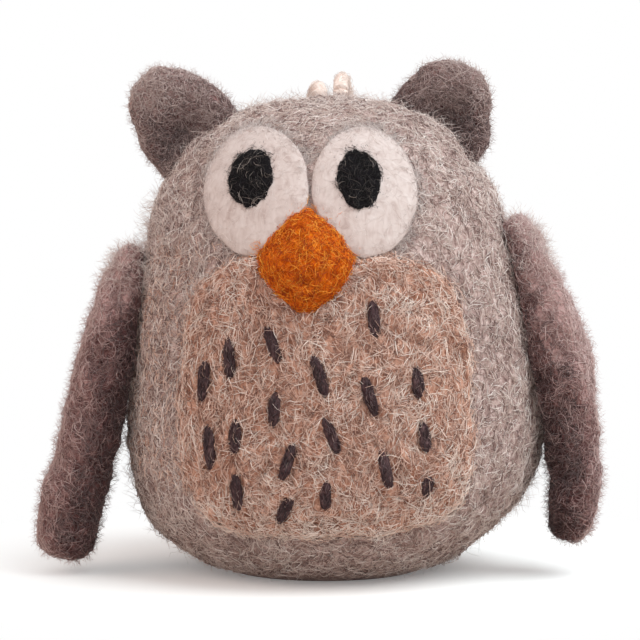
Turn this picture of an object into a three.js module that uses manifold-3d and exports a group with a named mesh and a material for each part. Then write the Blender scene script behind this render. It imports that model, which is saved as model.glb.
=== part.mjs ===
// Felted wool owl: an egg of felt round a wool core, with felted features and a hanging loop.
// Millimetres, +Z up, the face looks along -Y, left and right are the viewer's.
// The origin is the middle of the flat base.

import * as THREE from 'three';
import { mergeVertices } from 'three/addons/utils/BufferGeometryUtils.js';
import Module from 'manifold-3d';

const wasm = await Module();
wasm.setup();

// Gap between pieces that touch
const feltGap = 0.3;

// Power of a true ellipse among superellipses
const ellipse = 2;

// Body: widest low down, cut flat below, drifting a little sideways as handwork does
const bodyHeight = 73;
const bodyWidth = 64.6;
const bodyDepth = 60;
const baseWidth = 29;
const widestHeight = 23;
const flankPower = 2.3;
const shoulderPower = 2.1;
const crownPower = 3;
const hipDrift = 1.9;
const headDrift = 0.4;

// Swells that hand felting leaves in the coat, pressed flat in front where patches lie
const swellHeight = 0.5;
const swellLength = 13;
const swellWaves = 7;
const swellSpread = 0.25;
const swellStart = -12;
const swellFull = -2;
const swellFoot = 6;
const swellCentre = new THREE.Vector3(0, 0, 33);

// Grey wool felted round the core
const coatThickness = 4;

// Eyes: two tilted discs that meet on the face's own middle line
const faceX = -2.05;
const eyeWidth = 15.8;
const eyeHeight = 18.8;
const eyeDrop = 12.8;
const eyeThickness = 1.3;
const leftEyeTilt = 12;
const rightEyeTilt = -8;

// Pupils: both look up and to the left, the left one leaning more than its eye
const pupilWidth = 6.6;
const pupilHeight = 8.6;
const pupilShift = -0.8;
const pupilRise = 2;
const pupilThickness = 0.9;
const leftPupilTilt = 19;
const rightPupilTilt = -8;

// Beak: a rounded diamond that stands out from the face
const beakWidth = 14;
const beakHeight = 14.7;
const beakDrop = 10;
const beakShift = -0.65;
const beakEdge = 1.2;
const beakStandOut = 6;
const beakPower = 1.45;
const beakSlope = 1.5;

// Belly: a rounded square, narrower above, hung below the middle of the eyes and trimmed by the
// eyes and the beak
const bellyWidth = 43.4;
const bellyHeight = 42.2;
const bellyCentreX = 0.2;
const bellyTopDrop = 9.1;
const bellyThickness = 1.2;
const bellyPower = 3.8;
const bellyTaper = 0.05;

// Edges of the flat patches: where they start to roll over and what is left of them at the rim
const rollStart = 0.88;
const rollEnd = 0.45;

// Stitches: place across and up the belly as shares of its half sizes, length, lean in degrees
const stitchWidth = 1.75;
const stitchThickness = 0.9;
const stitchPower = 2.6;
const stitchRoll = 0.8;
const stitches = [
  [0.33, 0.56, 5.8, 3],
  [-0.36, 0.38, 5.8, 19],
  [-0.66, 0.27, 6.1, 3],
  [-0.84, 0.1, 6.1, -6],
  [-0.04, 0.17, 6.5, 17],
  [0.3, 0.03, 6.8, 17],
  [0.63, 0.11, 4.6, 6],
  [-0.35, -0.07, 5.4, -5],
  [0.04, -0.25, 5.6, 23],
  [-0.62, -0.27, 5.3, -2],
  [-0.8, -0.37, 6.8, 3],
  [0.68, -0.28, 4.5, 8],
  [-0.26, -0.44, 5.9, -18],
  [0.41, -0.49, 6.4, 13],
  [-0.61, -0.68, 5.7, 5],
  [0, -0.68, 4.3, -4],
  [0.7, -0.63, 3.3, -10],
  [-0.28, -0.79, 4.2, -23],
];

// Ears: lobes widest just under the head's skin, on its upper corners, hollowed in front
const earThickness = 7.8;
const earSeat = 2;
const earPower = 2.15;
const earDishDepth = 1.9;
const earDishWidth = 9;
const earDishRise = 4.5;
const leftEar = { rootDrop: 6.2, width: 15, height: 12.6, tilt: -40 };
const rightEar = { rootDrop: 3.8, width: 16.2, height: 10.1, tilt: 19 };

// Wings: flaps that grow out of the shoulder, standing off the body's widest line below
const wingPower = 2.4;
const wingTopPower = 5;
const wingRootShare = 0.7;
const wingRootEnd = 0.42;
const wingTaperStart = 0.3;
const wingTaperEnd = 0.7;
const leftWing = {
  forward: 5,
  shoulderHeight: 50.5,
  shoulderStandOff: 1.9,
  elbowHeight: 30,
  elbowStandOff: 3.6,
  tipHeight: 2.8,
  tipStandOff: 10.3,
  thickness: 9.3,
  tipThickness: 9.5,
  depth: 16,
  tipPower: 7,
};
const rightWing = {
  forward: 7,
  shoulderHeight: 55,
  shoulderStandOff: 1.3,
  elbowHeight: 26,
  elbowStandOff: 6.9,
  tipHeight: 5.6,
  tipStandOff: 3.5,
  thickness: 10,
  tipThickness: 8,
  depth: 15.4,
  tipPower: 3.6,
};

// Hanging loop: one length of yarn, both ends through the crown to a knot in the core
const yarnWidth = 2.3;
const legSpacing = 3.3;
const legX = 0.95;
const legY = 9;
const loopPivotHeight = 73.75;
const knotWidth = 6.6;
const knotHeight = 4.6;
const knotDrop = 12;

// Route of the free loop: over the back of the crown, down the back, round and up again
const loopRoute = [
  [legX - legSpacing / 2, legY, loopPivotHeight],
  [-0.9, 11.6, 73.9],
  [-1.2, 14.4, 73.3],
  [-1.6, 17, 72],
  [-2.1, 19.6, 69.9],
  [-2.7, 22, 67.2],
  [-3.4, 24.3, 63.8],
  [-4.1, 26.4, 59.6],
  [-4.8, 28.3, 54.6],
  [-5.4, 29.5, 49.2],
  [-5.8, 30.4, 43.6],
  [-5.9, 31, 38],
  [-5.3, 31.4, 33.2],
  [-3.2, 31.6, 29.4],
  [0.9, 31.7, 27.6],
  [5, 31.6, 29.4],
  [7.1, 31.4, 33.2],
  [7.7, 31, 38.4],
  [7.6, 30.4, 44],
  [7.2, 29.5, 49.6],
  [6.6, 28.3, 55],
  [5.9, 26.6, 60.2],
  [5.2, 24.7, 64.8],
  [4.4, 22.6, 68.7],
  [3.7, 20.2, 71.6],
  [3.2, 17.3, 73.9],
  [2.9, 14.2, 75.1],
  [2.7, 11.4, 74.9],
  [legX + legSpacing / 2, legY, loopPivotHeight],
];

// How finely each form is drawn
const bodyAround = 64;
const bodyRings = 34;
const coreAround = 26;
const coreRings = 14;
const wingAround = 20;
const wingRings = 17;
const earAround = 20;
const earRings = 12;
const yarnSides = 8;
const loopSteps = 48;
const knotAround = 14;
const knotRings = 8;
const eyeCount = 28;
const pupilCount = 18;
const beakCount = 28;
const bellyCount = 44;
const stitchCount = 10;
const patchRings = [0.25, 0.5, 0.72, rollStart, 1];
const beakRings = [0.2, 0.4, 0.6, 0.8, 0.92, 1];
const stitchRings = [0.5, 1];

// Step for measuring a surface's slope
const probe = 0.01;

const goldenAngle = Math.PI * (3 - Math.sqrt(5));

const grey = 0xae9a95;
const taupe = 0x705956;
const beige = 0xae8c7e;
const white = 0xe0d1cd;
const black = 0x232022;
const orange = 0xb15b20;
const plum = 0x503e40;
const cream = 0xdecec8;
const undyed = 0xe6dfd2;

const { degToRad, lerp, smoothstep } = THREE.MathUtils;

// A closed skin through rings of points, from a pole at one end to a pole at the other
function skin(firstPole, rings, lastPole) {
  const around = rings[0].length;
  const points = [firstPole, ...rings.flat(), lastPole];
  const last = points.length - 1;
  const at = (ring, step) => 1 + ring * around + (step % around);
  const triangles = [];
  for (let step = 0; step < around; step += 1) {
    triangles.push(0, at(0, step + 1), at(0, step));
    for (let ring = 0; ring + 1 < rings.length; ring += 1) {
      triangles.push(at(ring, step), at(ring, step + 1), at(ring + 1, step));
      triangles.push(at(ring, step + 1), at(ring + 1, step + 1), at(ring + 1, step));
    }
    triangles.push(last, at(rings.length - 1, step), at(rings.length - 1, step + 1));
  }
  const geometry = new THREE.BufferGeometry().setFromPoints(points);
  geometry.setIndex(triangles);
  return geometry;
}

function toSolid(geometry) {
  const bare = geometry.clone();
  bare.deleteAttribute('normal');
  bare.deleteAttribute('uv');
  const merged = mergeVertices(bare);
  const vertProperties = merged.attributes.position.array;
  const triVerts = Uint32Array.from(merged.index.array);
  return new wasm.Manifold(new wasm.Mesh({ numProp: 3, vertProperties, triVerts }));
}

function toGeometry(solid) {
  const mesh = solid.getMesh();
  const geometry = new THREE.BufferGeometry();
  geometry.setAttribute('position', new THREE.BufferAttribute(mesh.vertProperties, mesh.numProp));
  geometry.setIndex(new THREE.BufferAttribute(mesh.triVerts, 1));
  return geometry;
}

function piece(name, geometry, colour) {
  const shaded = geometry.clone();
  shaded.computeVertexNormals();
  const material = new THREE.MeshStandardMaterial({ color: colour, roughness: 0.95, metalness: 0 });
  const mesh = new THREE.Mesh(shaded, material);
  mesh.name = name;
  return mesh;
}

// Signed power, which keeps a superellipse's quarters apart
const roundPower = (value, power) => Math.sign(value) * Math.abs(value) ** power;

// Body: half width at a height, a superellipse below the widest line and another above it
function flankReach() {
  return widestHeight / (1 - (baseWidth / bodyWidth) ** flankPower) ** (1 / flankPower);
}

function bodyHalfWidth(height) {
  if (height < widestHeight) {
    const drop = (widestHeight - height) / flankReach();
    return (bodyWidth / 2) * (1 - drop ** flankPower) ** (1 / flankPower);
  }
  const climb = Math.min(1, (height - widestHeight) / (bodyHeight - widestHeight));
  return (bodyWidth / 2) * (1 - climb ** shoulderPower) ** (1 / crownPower);
}

function bodyDrift(height) {
  if (height < widestHeight) {
    return hipDrift * smoothstep(height, 0, widestHeight);
  }
  return lerp(hipDrift, headDrift, smoothstep(height, widestHeight, bodyHeight));
}

// Heights of the rings, close together where the profile turns
function ringHeights() {
  const lowest = Math.asin((widestHeight / flankReach()) ** (flankPower / 2));
  const heights = [];
  for (let ring = 0; ring < bodyRings; ring += 1) {
    const angle = lerp(-lowest, Math.PI / 2, ring / bodyRings);
    const below = flankReach() * Math.sin(-angle) ** (2 / flankPower);
    const above = (bodyHeight - widestHeight) * Math.sin(angle) ** (2 / shoulderPower);
    heights.push(angle < 0 ? Math.max(0, widestHeight - below) : widestHeight + above);
  }
  return heights;
}

// Height of the swells at a point: waves that cross each other, turned by the golden angle
function swellAt(point) {
  const bare = smoothstep(point.y, swellStart, swellFull) * smoothstep(point.z, 0, swellFoot);
  let sum = 0;
  for (let wave = 0; wave < swellWaves; wave += 1) {
    const turn = wave * goldenAngle;
    const way = new THREE.Vector3(Math.cos(turn), Math.sin(turn), (wave % 3) - 1).normalize();
    const length = swellLength * (1 + swellSpread * Math.sin(turn));
    sum += Math.sin((2 * Math.PI * point.dot(way)) / length + wave ** 2);
  }
  return swellHeight * bare * Math.tanh(sum / Math.sqrt(swellWaves));
}

function bodyPoint(turn, height) {
  const halfWidth = bodyHalfWidth(height);
  const halfDepth = (halfWidth * bodyDepth) / bodyWidth;
  const point = new THREE.Vector3(
    bodyDrift(height) + halfWidth * Math.cos(turn),
    halfDepth * Math.sin(turn),
    height,
  );
  const out = point.clone().sub(swellCentre).normalize();
  return point.addScaledVector(out, swellAt(point));
}

// The body's skin, or with lift the space that its neighbours keep clear of
function bodySkin(lift) {
  const rings = ringHeights().map((height) => {
    const low = Math.max(probe, height);
    return Array.from({ length: bodyAround }, (unused, step) => {
      const turn = (2 * Math.PI * step) / bodyAround;
      const point = bodyPoint(turn, height);
      const around = bodyPoint(turn + probe, low).sub(bodyPoint(turn - probe, low));
      const up = bodyPoint(turn, low + probe).sub(bodyPoint(turn, low - probe));
      return point.addScaledVector(around.cross(up).normalize(), lift);
    });
  });
  const base = new THREE.Vector3(0, 0, rings[0][0].z);
  const crown = bodyPoint(0, bodyHeight);
  crown.z += lift;
  return skin(base, rings, crown);
}

// A point in front of the body: its surface, the gap that felt keeps, then straight ahead
function onFront(x, height, ahead) {
  const surface = (atX, atHeight) => {
    const across = (atX - bodyDrift(atHeight)) / bodyHalfWidth(atHeight);
    return bodyPoint(-Math.acos(across), atHeight);
  };
  const point = surface(x, height);
  const alongX = surface(x + probe, height).sub(surface(x - probe, height));
  const alongZ = surface(x, height + probe).sub(surface(x, height - probe));
  point.addScaledVector(alongX.cross(alongZ).normalize(), feltGap);
  point.y -= ahead;
  return point;
}

// A superellipse seen from the front, narrowed above by its taper, tilted clockwise by degrees
function frontOutline({ x, height, width, tall, power, tilt, taper = 0 }, grow, count) {
  return Array.from({ length: count }, (unused, step) => {
    const turn = (2 * Math.PI * step) / count;
    const rise = roundPower(Math.sin(turn), 2 / power);
    const narrow = 1 - taper * rise;
    const across = (width / 2 + grow) * narrow * roundPower(Math.cos(turn), 2 / power);
    const up = (tall / 2 + grow) * rise;
    const lean = degToRad(tilt);
    return new THREE.Vector2(
      x + across * Math.cos(lean) + up * Math.sin(lean),
      height - across * Math.sin(lean) + up * Math.cos(lean),
    );
  });
}

// A felt patch on the front: its underside follows the body, a seat ahead of it for what lies
// on another patch, and its face stands thicknessAt proud
function patch(form, seat, thicknessAt, ringShares, count) {
  const outline = frontOutline(form, 0, count);
  const middle = new THREE.Vector2(form.x, form.height);
  const ring = (share, ahead) => outline.map((edge) => {
    const spot = middle.clone().lerp(edge, share);
    return onFront(spot.x, spot.y, ahead);
  });
  const unders = ringShares.map((share) => ring(share, seat));
  const faces = ringShares.map((share) => ring(share, seat + thicknessAt(share))).reverse();
  const back = onFront(form.x, form.height, seat);
  const front = onFront(form.x, form.height, seat + thicknessAt(0));
  return skin(back, [...unders, ...faces], front);
}

// A patch of even thickness whose edge rolls over
function evenPatch(form, seat, thickness, count) {
  const profile = (share) => {
    const roll = Math.max(0, (share - rollStart) / (1 - rollStart));
    return thickness * lerp(1, rollEnd, roll ** 2);
  };
  return patch(form, seat, profile, patchRings, count);
}

// A prism of a front outline, running out from the middle of the body through its front
function frontCutter(form, grow, count) {
  const shape = new THREE.Shape(frontOutline(form, grow, count));
  const prism = new THREE.ExtrudeGeometry(shape, { depth: bodyDepth, bevelEnabled: false });
  return toSolid(prism.rotateX(Math.PI / 2));
}

// A rounded lump: a superellipsoid with its poles on Z
function lump(halfX, halfY, halfZ, power, around, ringCount) {
  const rings = Array.from({ length: ringCount }, (unused, ring) => {
    const rise = Math.PI * ((ring + 1) / (ringCount + 1) - 0.5);
    const wide = Math.cos(rise) ** (2 / power);
    const up = halfZ * roundPower(Math.sin(rise), 2 / power);
    return Array.from({ length: around }, (none, step) => {
      const turn = (2 * Math.PI * step) / around;
      return new THREE.Vector3(
        halfX * wide * Math.cos(turn),
        halfY * wide * Math.sin(turn),
        up,
      );
    });
  });
  return skin(new THREE.Vector3(0, 0, -halfZ), rings, new THREE.Vector3(0, 0, halfZ));
}

// Space kept clear by the body for what is felted on to it
const bodyClear = toSolid(bodySkin(feltGap));

// Places of the loop's legs and knot
const leftLegX = legX - legSpacing / 2;
const rightLegX = legX + legSpacing / 2;
const knotCentreHeight = bodyHeight - knotDrop;

function legChannel(grow) {
  const radius = legSpacing / 2 + yarnWidth / 2 + grow;
  const channel = new THREE.CylinderGeometry(radius, radius, knotDrop * 2, yarnSides * 2);
  channel.rotateX(Math.PI / 2);
  channel.translate(legX, legY, knotCentreHeight + knotDrop);
  return toSolid(channel);
}

function knotLump(grow) {
  const half = knotWidth / 2 + grow;
  const knot = lump(half, half, knotHeight / 2 + grow, ellipse, knotAround, knotRings);
  return knot.translate(legX, legY, knotCentreHeight);
}

function coreLump(grow) {
  const inset = coatThickness - grow;
  const halfWidth = bodyWidth / 2 - inset;
  const halfDepth = bodyDepth / 2 - inset;
  const halfHeight = bodyHeight / 2 - inset;
  const core = lump(halfWidth, halfDepth, halfHeight, ellipse, coreAround, coreRings);
  return core.translate(bodyDrift(bodyHeight / 2), 0, bodyHeight / 2);
}

function makeCoat() {
  const coat = toSolid(bodySkin(0)).subtract(toSolid(coreLump(feltGap)));
  return toGeometry(coat.subtract(legChannel(feltGap)));
}

function makeCore() {
  const core = toSolid(coreLump(0)).subtract(toSolid(knotLump(feltGap)));
  return toGeometry(core.subtract(legChannel(feltGap)));
}

// How far a tilted disc reaches sideways from its middle
function sideReach(width, tall, tilt) {
  const lean = degToRad(tilt);
  return Math.hypot((width / 2) * Math.cos(lean), (tall / 2) * Math.sin(lean));
}

function eyeForm(side, tilt) {
  return {
    x: faceX + side * (sideReach(eyeWidth, eyeHeight, tilt) + feltGap / 2),
    height: bodyHeight - eyeDrop,
    width: eyeWidth,
    tall: eyeHeight,
    power: ellipse,
    tilt,
  };
}

function pupilForm(eye, tilt) {
  return {
    x: eye.x + pupilShift,
    height: eye.height + pupilRise,
    width: pupilWidth,
    tall: pupilHeight,
    power: ellipse,
    tilt,
  };
}

const leftEyeForm = eyeForm(-1, leftEyeTilt);
const rightEyeForm = eyeForm(1, rightEyeTilt);
const beakForm = {
  x: faceX + beakShift,
  height: bodyHeight - eyeDrop - beakDrop,
  width: beakWidth,
  tall: beakHeight,
  power: beakPower,
  tilt: 0,
};
const bellyForm = {
  x: bellyCentreX,
  height: bodyHeight - eyeDrop - bellyTopDrop - bellyHeight / 2,
  width: bellyWidth,
  tall: bellyHeight,
  power: bellyPower,
  tilt: 0,
  taper: bellyTaper,
};

const beakCutter = frontCutter(beakForm, feltGap, beakCount);

function makeEye(form) {
  const disc = toSolid(evenPatch(form, 0, eyeThickness, eyeCount));
  return toGeometry(disc.subtract(beakCutter));
}

function makePupil(eye, tilt) {
  return evenPatch(pupilForm(eye, tilt), eyeThickness + feltGap, pupilThickness, pupilCount);
}

function makeBeak() {
  const profile = (share) => lerp(beakStandOut, beakEdge, share ** beakSlope);
  return patch(beakForm, 0, profile, beakRings, beakCount);
}

function makeBelly() {
  const layer = toSolid(evenPatch(bellyForm, 0, bellyThickness, bellyCount));
  const leftEye = frontCutter(leftEyeForm, feltGap, eyeCount);
  const rightEye = frontCutter(rightEyeForm, feltGap, eyeCount);
  return toGeometry(layer.subtract(leftEye).subtract(rightEye).subtract(beakCutter));
}

function makeStitch([across, up, length, lean]) {
  const form = {
    x: bellyForm.x + (across * bellyWidth) / 2,
    height: bellyForm.height + (up * bellyHeight) / 2,
    width: stitchWidth,
    tall: length,
    power: stitchPower,
    tilt: -lean,
  };
  const profile = (share) => stitchThickness * Math.sqrt(1 - stitchRoll * share ** 2);
  return patch(form, bellyThickness + feltGap, profile, stitchRings, stitchCount);
}

function makeEar(side, ear) {
  const rootHeight = bodyHeight - ear.rootDrop;
  const halfHeight = ear.height + earSeat;
  const lobe = lump(ear.width / 2, earThickness / 2, halfHeight, earPower, earAround, earRings);
  const dishRadius = ((earDishWidth / 2) ** 2 + earDishDepth ** 2) / (2 * earDishDepth);
  const dish = new THREE.SphereGeometry(dishRadius, earAround, earRings);
  dish.translate(0, earDishDepth - earThickness / 2 - dishRadius, earDishRise);
  const place = new THREE.Matrix4().makeRotationY(degToRad(ear.tilt));
  const seat = new THREE.Vector3(0, 0, -earSeat).applyMatrix4(place);
  const rootX = bodyDrift(rootHeight) + side * bodyHalfWidth(rootHeight);
  place.setPosition(rootX + seat.x, 0, rootHeight + seat.z);
  const cupped = toSolid(lobe.applyMatrix4(place)).subtract(toSolid(dish.applyMatrix4(place)));
  return toGeometry(cupped.subtract(bodyClear));
}

// Sideways place of the body's widest line plus a stand-off
const besideBody = (side, standOff) => hipDrift + side * (bodyWidth / 2 + standOff);

function makeWing(side, wing) {
  const halfWidth = bodyHalfWidth(wing.shoulderHeight);
  const aside = Math.sqrt(1 - ((wing.forward * bodyWidth) / (halfWidth * bodyDepth)) ** 2);
  const shoulderX = bodyDrift(wing.shoulderHeight) + side * (halfWidth * aside + wing.shoulderStandOff);
  const spine = new THREE.QuadraticBezierCurve3(
    new THREE.Vector3(shoulderX, -wing.forward, wing.shoulderHeight),
    new THREE.Vector3(besideBody(side, wing.elbowStandOff), -wing.forward, wing.elbowHeight),
    new THREE.Vector3(besideBody(side, wing.tipStandOff), -wing.forward, wing.tipHeight),
  );
  const rings = Array.from({ length: wingRings }, (unused, ring) => {
    const along = (1 - Math.cos((Math.PI * (ring + 1)) / (wingRings + 1))) / 2;
    const power = along < 0.5 ? wingTopPower : wing.tipPower;
    const end = (1 - Math.abs(2 * along - 1) ** power) ** (1 / power);
    const swell = end * lerp(wingRootShare, 1, smoothstep(along, 0, wingRootEnd));
    const taper = smoothstep(along, wingTaperStart, wingTaperEnd);
    const thickness = lerp(wing.thickness, wing.tipThickness, taper);
    const centre = spine.getPoint(along);
    const tangent = spine.getTangent(along);
    const out = new THREE.Vector3(-tangent.z, 0, tangent.x);
    return Array.from({ length: wingAround }, (none, step) => {
      const turn = (2 * Math.PI * step) / wingAround;
      const point = centre.clone();
      const outward = roundPower(Math.cos(turn), 2 / wingPower);
      const back = roundPower(Math.sin(turn), 2 / wingPower);
      point.addScaledVector(out, (thickness / 2) * swell * outward);
      point.y += (wing.depth / 2) * swell * back;
      return point;
    });
  });
  const flap = skin(spine.getPoint(1), rings.reverse(), spine.getPoint(0));
  return toGeometry(toSolid(flap).subtract(bodyClear));
}

function yarnRun(points, steps) {
  const section = new THREE.Shape().absarc(0, 0, yarnWidth / 2, 0, 2 * Math.PI);
  const extrudePath = new THREE.CatmullRomCurve3(points.map((point) => new THREE.Vector3(...point)));
  return new THREE.ExtrudeGeometry(section, { steps, curveSegments: yarnSides / 2, extrudePath });
}

// The free loop, with round ends that turn on the line through the two exits
function makeLoop() {
  const ends = [loopRoute[0], loopRoute[loopRoute.length - 1]];
  const balls = ends.map((end) => {
    const ball = new THREE.SphereGeometry(yarnWidth / 2, yarnSides, yarnSides / 2);
    return toSolid(ball.translate(...end));
  });
  const run = toSolid(yarnRun(loopRoute, loopSteps));
  return toGeometry(run.add(balls[0]).add(balls[1]));
}

// A leg of the yarn, straight up its channel from the knot to the loop's round end
function makeLeg(x) {
  const foot = knotCentreHeight + knotHeight / 2 + feltGap;
  const top = loopPivotHeight - yarnWidth / 2 - feltGap;
  const leg = new THREE.CylinderGeometry(yarnWidth / 2, yarnWidth / 2, top - foot, yarnSides);
  return leg.rotateX(Math.PI / 2).translate(x, legY, (top + foot) / 2);
}

const body = new THREE.Group();
body.add(piece('body_felt', makeCoat(), grey));
body.add(piece('wool_core', makeCore(), undyed));
body.add(piece('belly_patch', makeBelly(), beige));
stitches.forEach((stitch, index) => {
  const name = `belly_stitch_${String(index + 1).padStart(2, '0')}`;
  body.add(piece(name, makeStitch(stitch), plum));
});
body.add(piece('left_eye_disc', makeEye(leftEyeForm), white));
body.add(piece('right_eye_disc', makeEye(rightEyeForm), white));
body.add(piece('left_pupil', makePupil(leftEyeForm, leftPupilTilt), black));
body.add(piece('right_pupil', makePupil(rightEyeForm, rightPupilTilt), black));
body.add(piece('beak', makeBeak(), orange));
body.add(piece('left_ear', makeEar(-1, leftEar), taupe));
body.add(piece('right_ear', makeEar(1, rightEar), taupe));
body.add(piece('loop_knot', knotLump(0), cream));
body.add(piece('left_loop_leg', makeLeg(leftLegX), cream));
body.add(piece('right_loop_leg', makeLeg(rightLegX), cream));

const owl = new THREE.Group();
owl.add(body);
owl.add(piece('left_wing', makeWing(-1, leftWing), taupe));
owl.add(piece('right_wing', makeWing(1, rightWing), taupe));
owl.add(piece('hanging_loop', makeLoop(), cream));

export default owl;
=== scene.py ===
import bpy
import numpy as np
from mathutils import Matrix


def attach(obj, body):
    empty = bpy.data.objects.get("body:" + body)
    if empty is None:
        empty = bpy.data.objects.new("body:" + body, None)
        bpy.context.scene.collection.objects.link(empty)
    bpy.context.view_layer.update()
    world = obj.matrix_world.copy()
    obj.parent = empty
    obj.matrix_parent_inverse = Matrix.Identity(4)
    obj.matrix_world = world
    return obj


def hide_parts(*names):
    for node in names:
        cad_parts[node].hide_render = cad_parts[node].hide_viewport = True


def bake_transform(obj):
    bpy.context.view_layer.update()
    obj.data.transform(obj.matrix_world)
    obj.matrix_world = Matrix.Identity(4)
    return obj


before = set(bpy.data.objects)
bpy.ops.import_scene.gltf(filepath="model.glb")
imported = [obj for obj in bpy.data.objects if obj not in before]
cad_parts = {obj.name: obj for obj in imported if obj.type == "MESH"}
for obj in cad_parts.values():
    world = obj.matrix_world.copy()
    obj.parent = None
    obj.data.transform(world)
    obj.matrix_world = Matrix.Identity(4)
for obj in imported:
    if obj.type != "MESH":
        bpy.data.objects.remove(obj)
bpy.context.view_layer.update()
mm = 0.001  # forms below are worked out in millimetres and put into the meshes in metres
fullTurn = (0, 2 * np.pi)


# colour written as sRGB, 0 to 255, turned into the linear values that sockets take
def tone(red, green, blue):
    share = np.array([red, green, blue]) / 255
    linear = np.where(share <= 0.04045, share / 12.92, ((share + 0.055) / 1.055) ** 2.4)
    return (*[float(value) for value in linear], 1.0)


# camera: straight ahead of the face, a little above it
cameraView = {
    "target": (-0.00062, 0.0, 0.0387),
    "elevation": 6.0,
    "distance": 0.65,
    "frameWidth": 0.0992,  # what the picture takes in at the target
    "sensor": 36.0,
}
cameraData = bpy.data.cameras.new("camera")
cameraData.sensor_width = cameraView["sensor"]
cameraData.lens = cameraView["sensor"] * cameraView["distance"] / cameraView["frameWidth"]
cameraObject = bpy.data.objects.new("camera", cameraData)
bpy.context.scene.collection.objects.link(cameraObject)
look = np.radians(cameraView["elevation"])
cameraObject.location = (
    cameraView["target"][0],
    cameraView["target"][1] - cameraView["distance"] * np.cos(look),
    cameraView["target"][2] + cameraView["distance"] * np.sin(look),
)
cameraObject.rotation_euler = (np.pi / 2 - look, 0, 0)
bpy.context.scene.camera = cameraObject
bpy.context.scene.view_settings.view_transform = "Standard"
print("camera set, lens", round(cameraData.lens, 1))


# wraps one socket, so that arithmetic on values adds Math nodes
class Shade:
    def __init__(self, tree, socket=None):
        self.tree = tree
        self.socket = socket

    # adds a node: its type, its settings, then values or links for its sockets
    def node(self, kind, settings=None, sockets=None, out=0):
        made = self.tree.nodes.new("ShaderNode" + kind)
        for key, value in (settings or {}).items():
            if key == "stops":
                ramp = made.color_ramp
                while len(ramp.elements) < len(value):
                    ramp.elements.new(1.0)
                for element, (place, colour) in zip(ramp.elements, value):
                    element.position = place
                    element.color = colour
            else:
                setattr(made, key, value)
        for key, value in (sockets or {}).items():
            if isinstance(value, Shade):
                self.tree.links.new(value.socket, made.inputs[key])
            else:
                made.inputs[key].default_value = value
        return Shade(self.tree, made.outputs[out]) if made.outputs else made

    # one Math node on two values, either of them a number or a socket
    def maths(self, operation, first, second):
        return self.node("Math", {"operation": operation}, {0: first, 1: second})

    def __add__(self, other):
        return self.maths("ADD", self, other)

    def __radd__(self, other):
        return self.maths("ADD", other, self)

    def __sub__(self, other):
        return self.maths("SUBTRACT", self, other)

    def __rsub__(self, other):
        return self.maths("SUBTRACT", other, self)

    def __mul__(self, other):
        return self.maths("MULTIPLY", self, other)

    def __rmul__(self, other):
        return self.maths("MULTIPLY", other, self)


# a new material, its tree wrapped for arithmetic, and its Principled shader
def newMaterial(name):
    material = bpy.data.materials.new(name)
    material.use_nodes = True
    tree = material.node_tree
    shader = next(node for node in tree.nodes if node.type == "BSDF_PRINCIPLED")
    return material, Shade(tree), shader


# constants put on a shader's sockets
def setSockets(shader, values):
    for socket, value in values.items():
        shader.inputs[socket].default_value = value


# what all felts share: the three ways their strands run, and how strands, mottle and pits add up
feltMix = {
    "ways": ((0.3, 0.5, 0.2), (1.1, -0.6, 0.9), (-0.7, 0.2, 1.9)),
    "strands": 1.5, "mottle": 0.5, "pits": 0.9, "level": 1.05,  # tone
    "strandHeight": 0.7, "pitHeight": 0.6, "bump": 0.7,  # relief
    "polish": 0.15, "specular": 0.2, "sheenRoughness": 0.5,
}


# the usual felt: noise scales per metre, sway and relief in metres; looks below give what differs, and
# their tones as sRGB
feltLook = {
    "curl": 420.0, "sway": 0.003, "fine": 1900.0, "long": 420.0, "mottle": 140.0, "pits": 900.0,
    "relief": 0.0004, "sheen": 0.2,
}


# felt: matted strands running three ways over a mottled ground with dark needle pits
def feltMaterial(name, look):
    material, make, shader = newMaterial(name)
    place = make.node("TexCoord", out=3)
    drift = make.node("TexNoise", None, {"Vector": place, "Scale": look["curl"], "Detail": 2.0}, 1)
    drift = make.node("VectorMath", {"operation": "SUBTRACT"}, {0: drift, 1: (0.5, 0.5, 0.5)})
    drift = make.node("VectorMath", {"operation": "SCALE"}, {0: drift, "Scale": look["sway"]})
    bent = make.node("VectorMath", {"operation": "ADD"}, {0: place, 1: drift})
    strands = None
    for turned in feltMix["ways"]:
        mapped = make.node("Mapping", None, {
            "Vector": bent, "Rotation": turned, "Scale": (look["fine"], look["fine"], look["long"])})
        layer = make.node("TexNoise", None, {"Vector": mapped, "Scale": 1.0, "Detail": 1.0})
        strands = layer if strands is None else make.maths("MAXIMUM", strands, layer)
    mottle = make.node("TexNoise", None, {"Vector": place, "Scale": look["mottle"], "Detail": 3.0})
    pits = make.node("TexNoise", None, {"Vector": bent, "Scale": look["pits"], "Detail": 1.0})
    # the pale attribute adds painted light and shade, on the ears and wings
    pale = make.node("Attribute", {"attribute_name": "pale"}, None, 2)
    weight = strands * feltMix["strands"] + mottle * feltMix["mottle"] + pits * feltMix["pits"] + pale
    stops = [(at, tone(*shade)) for at, shade in look["stops"]]
    colour = make.node("ValToRGB", {"stops": stops}, {"Fac": weight - feltMix["level"]})
    height = strands * feltMix["strandHeight"] + pits * feltMix["pitHeight"]
    bump = make.node("Bump", None, {
        "Height": height, "Strength": feltMix["bump"], "Distance": look["relief"]})
    rough = 1.0 - mottle * feltMix["polish"]
    links = material.node_tree.links
    links.new(colour.socket, shader.inputs["Base Color"])
    links.new(rough.socket, shader.inputs["Roughness"])
    links.new(bump.socket, shader.inputs["Normal"])
    setSockets(shader, {
        "Specular IOR Level": feltMix["specular"], "Sheen Weight": look["sheen"],
        "Sheen Roughness": feltMix["sheenRoughness"], "Sheen Tint": stops[-1][1]})
    return material


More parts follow.
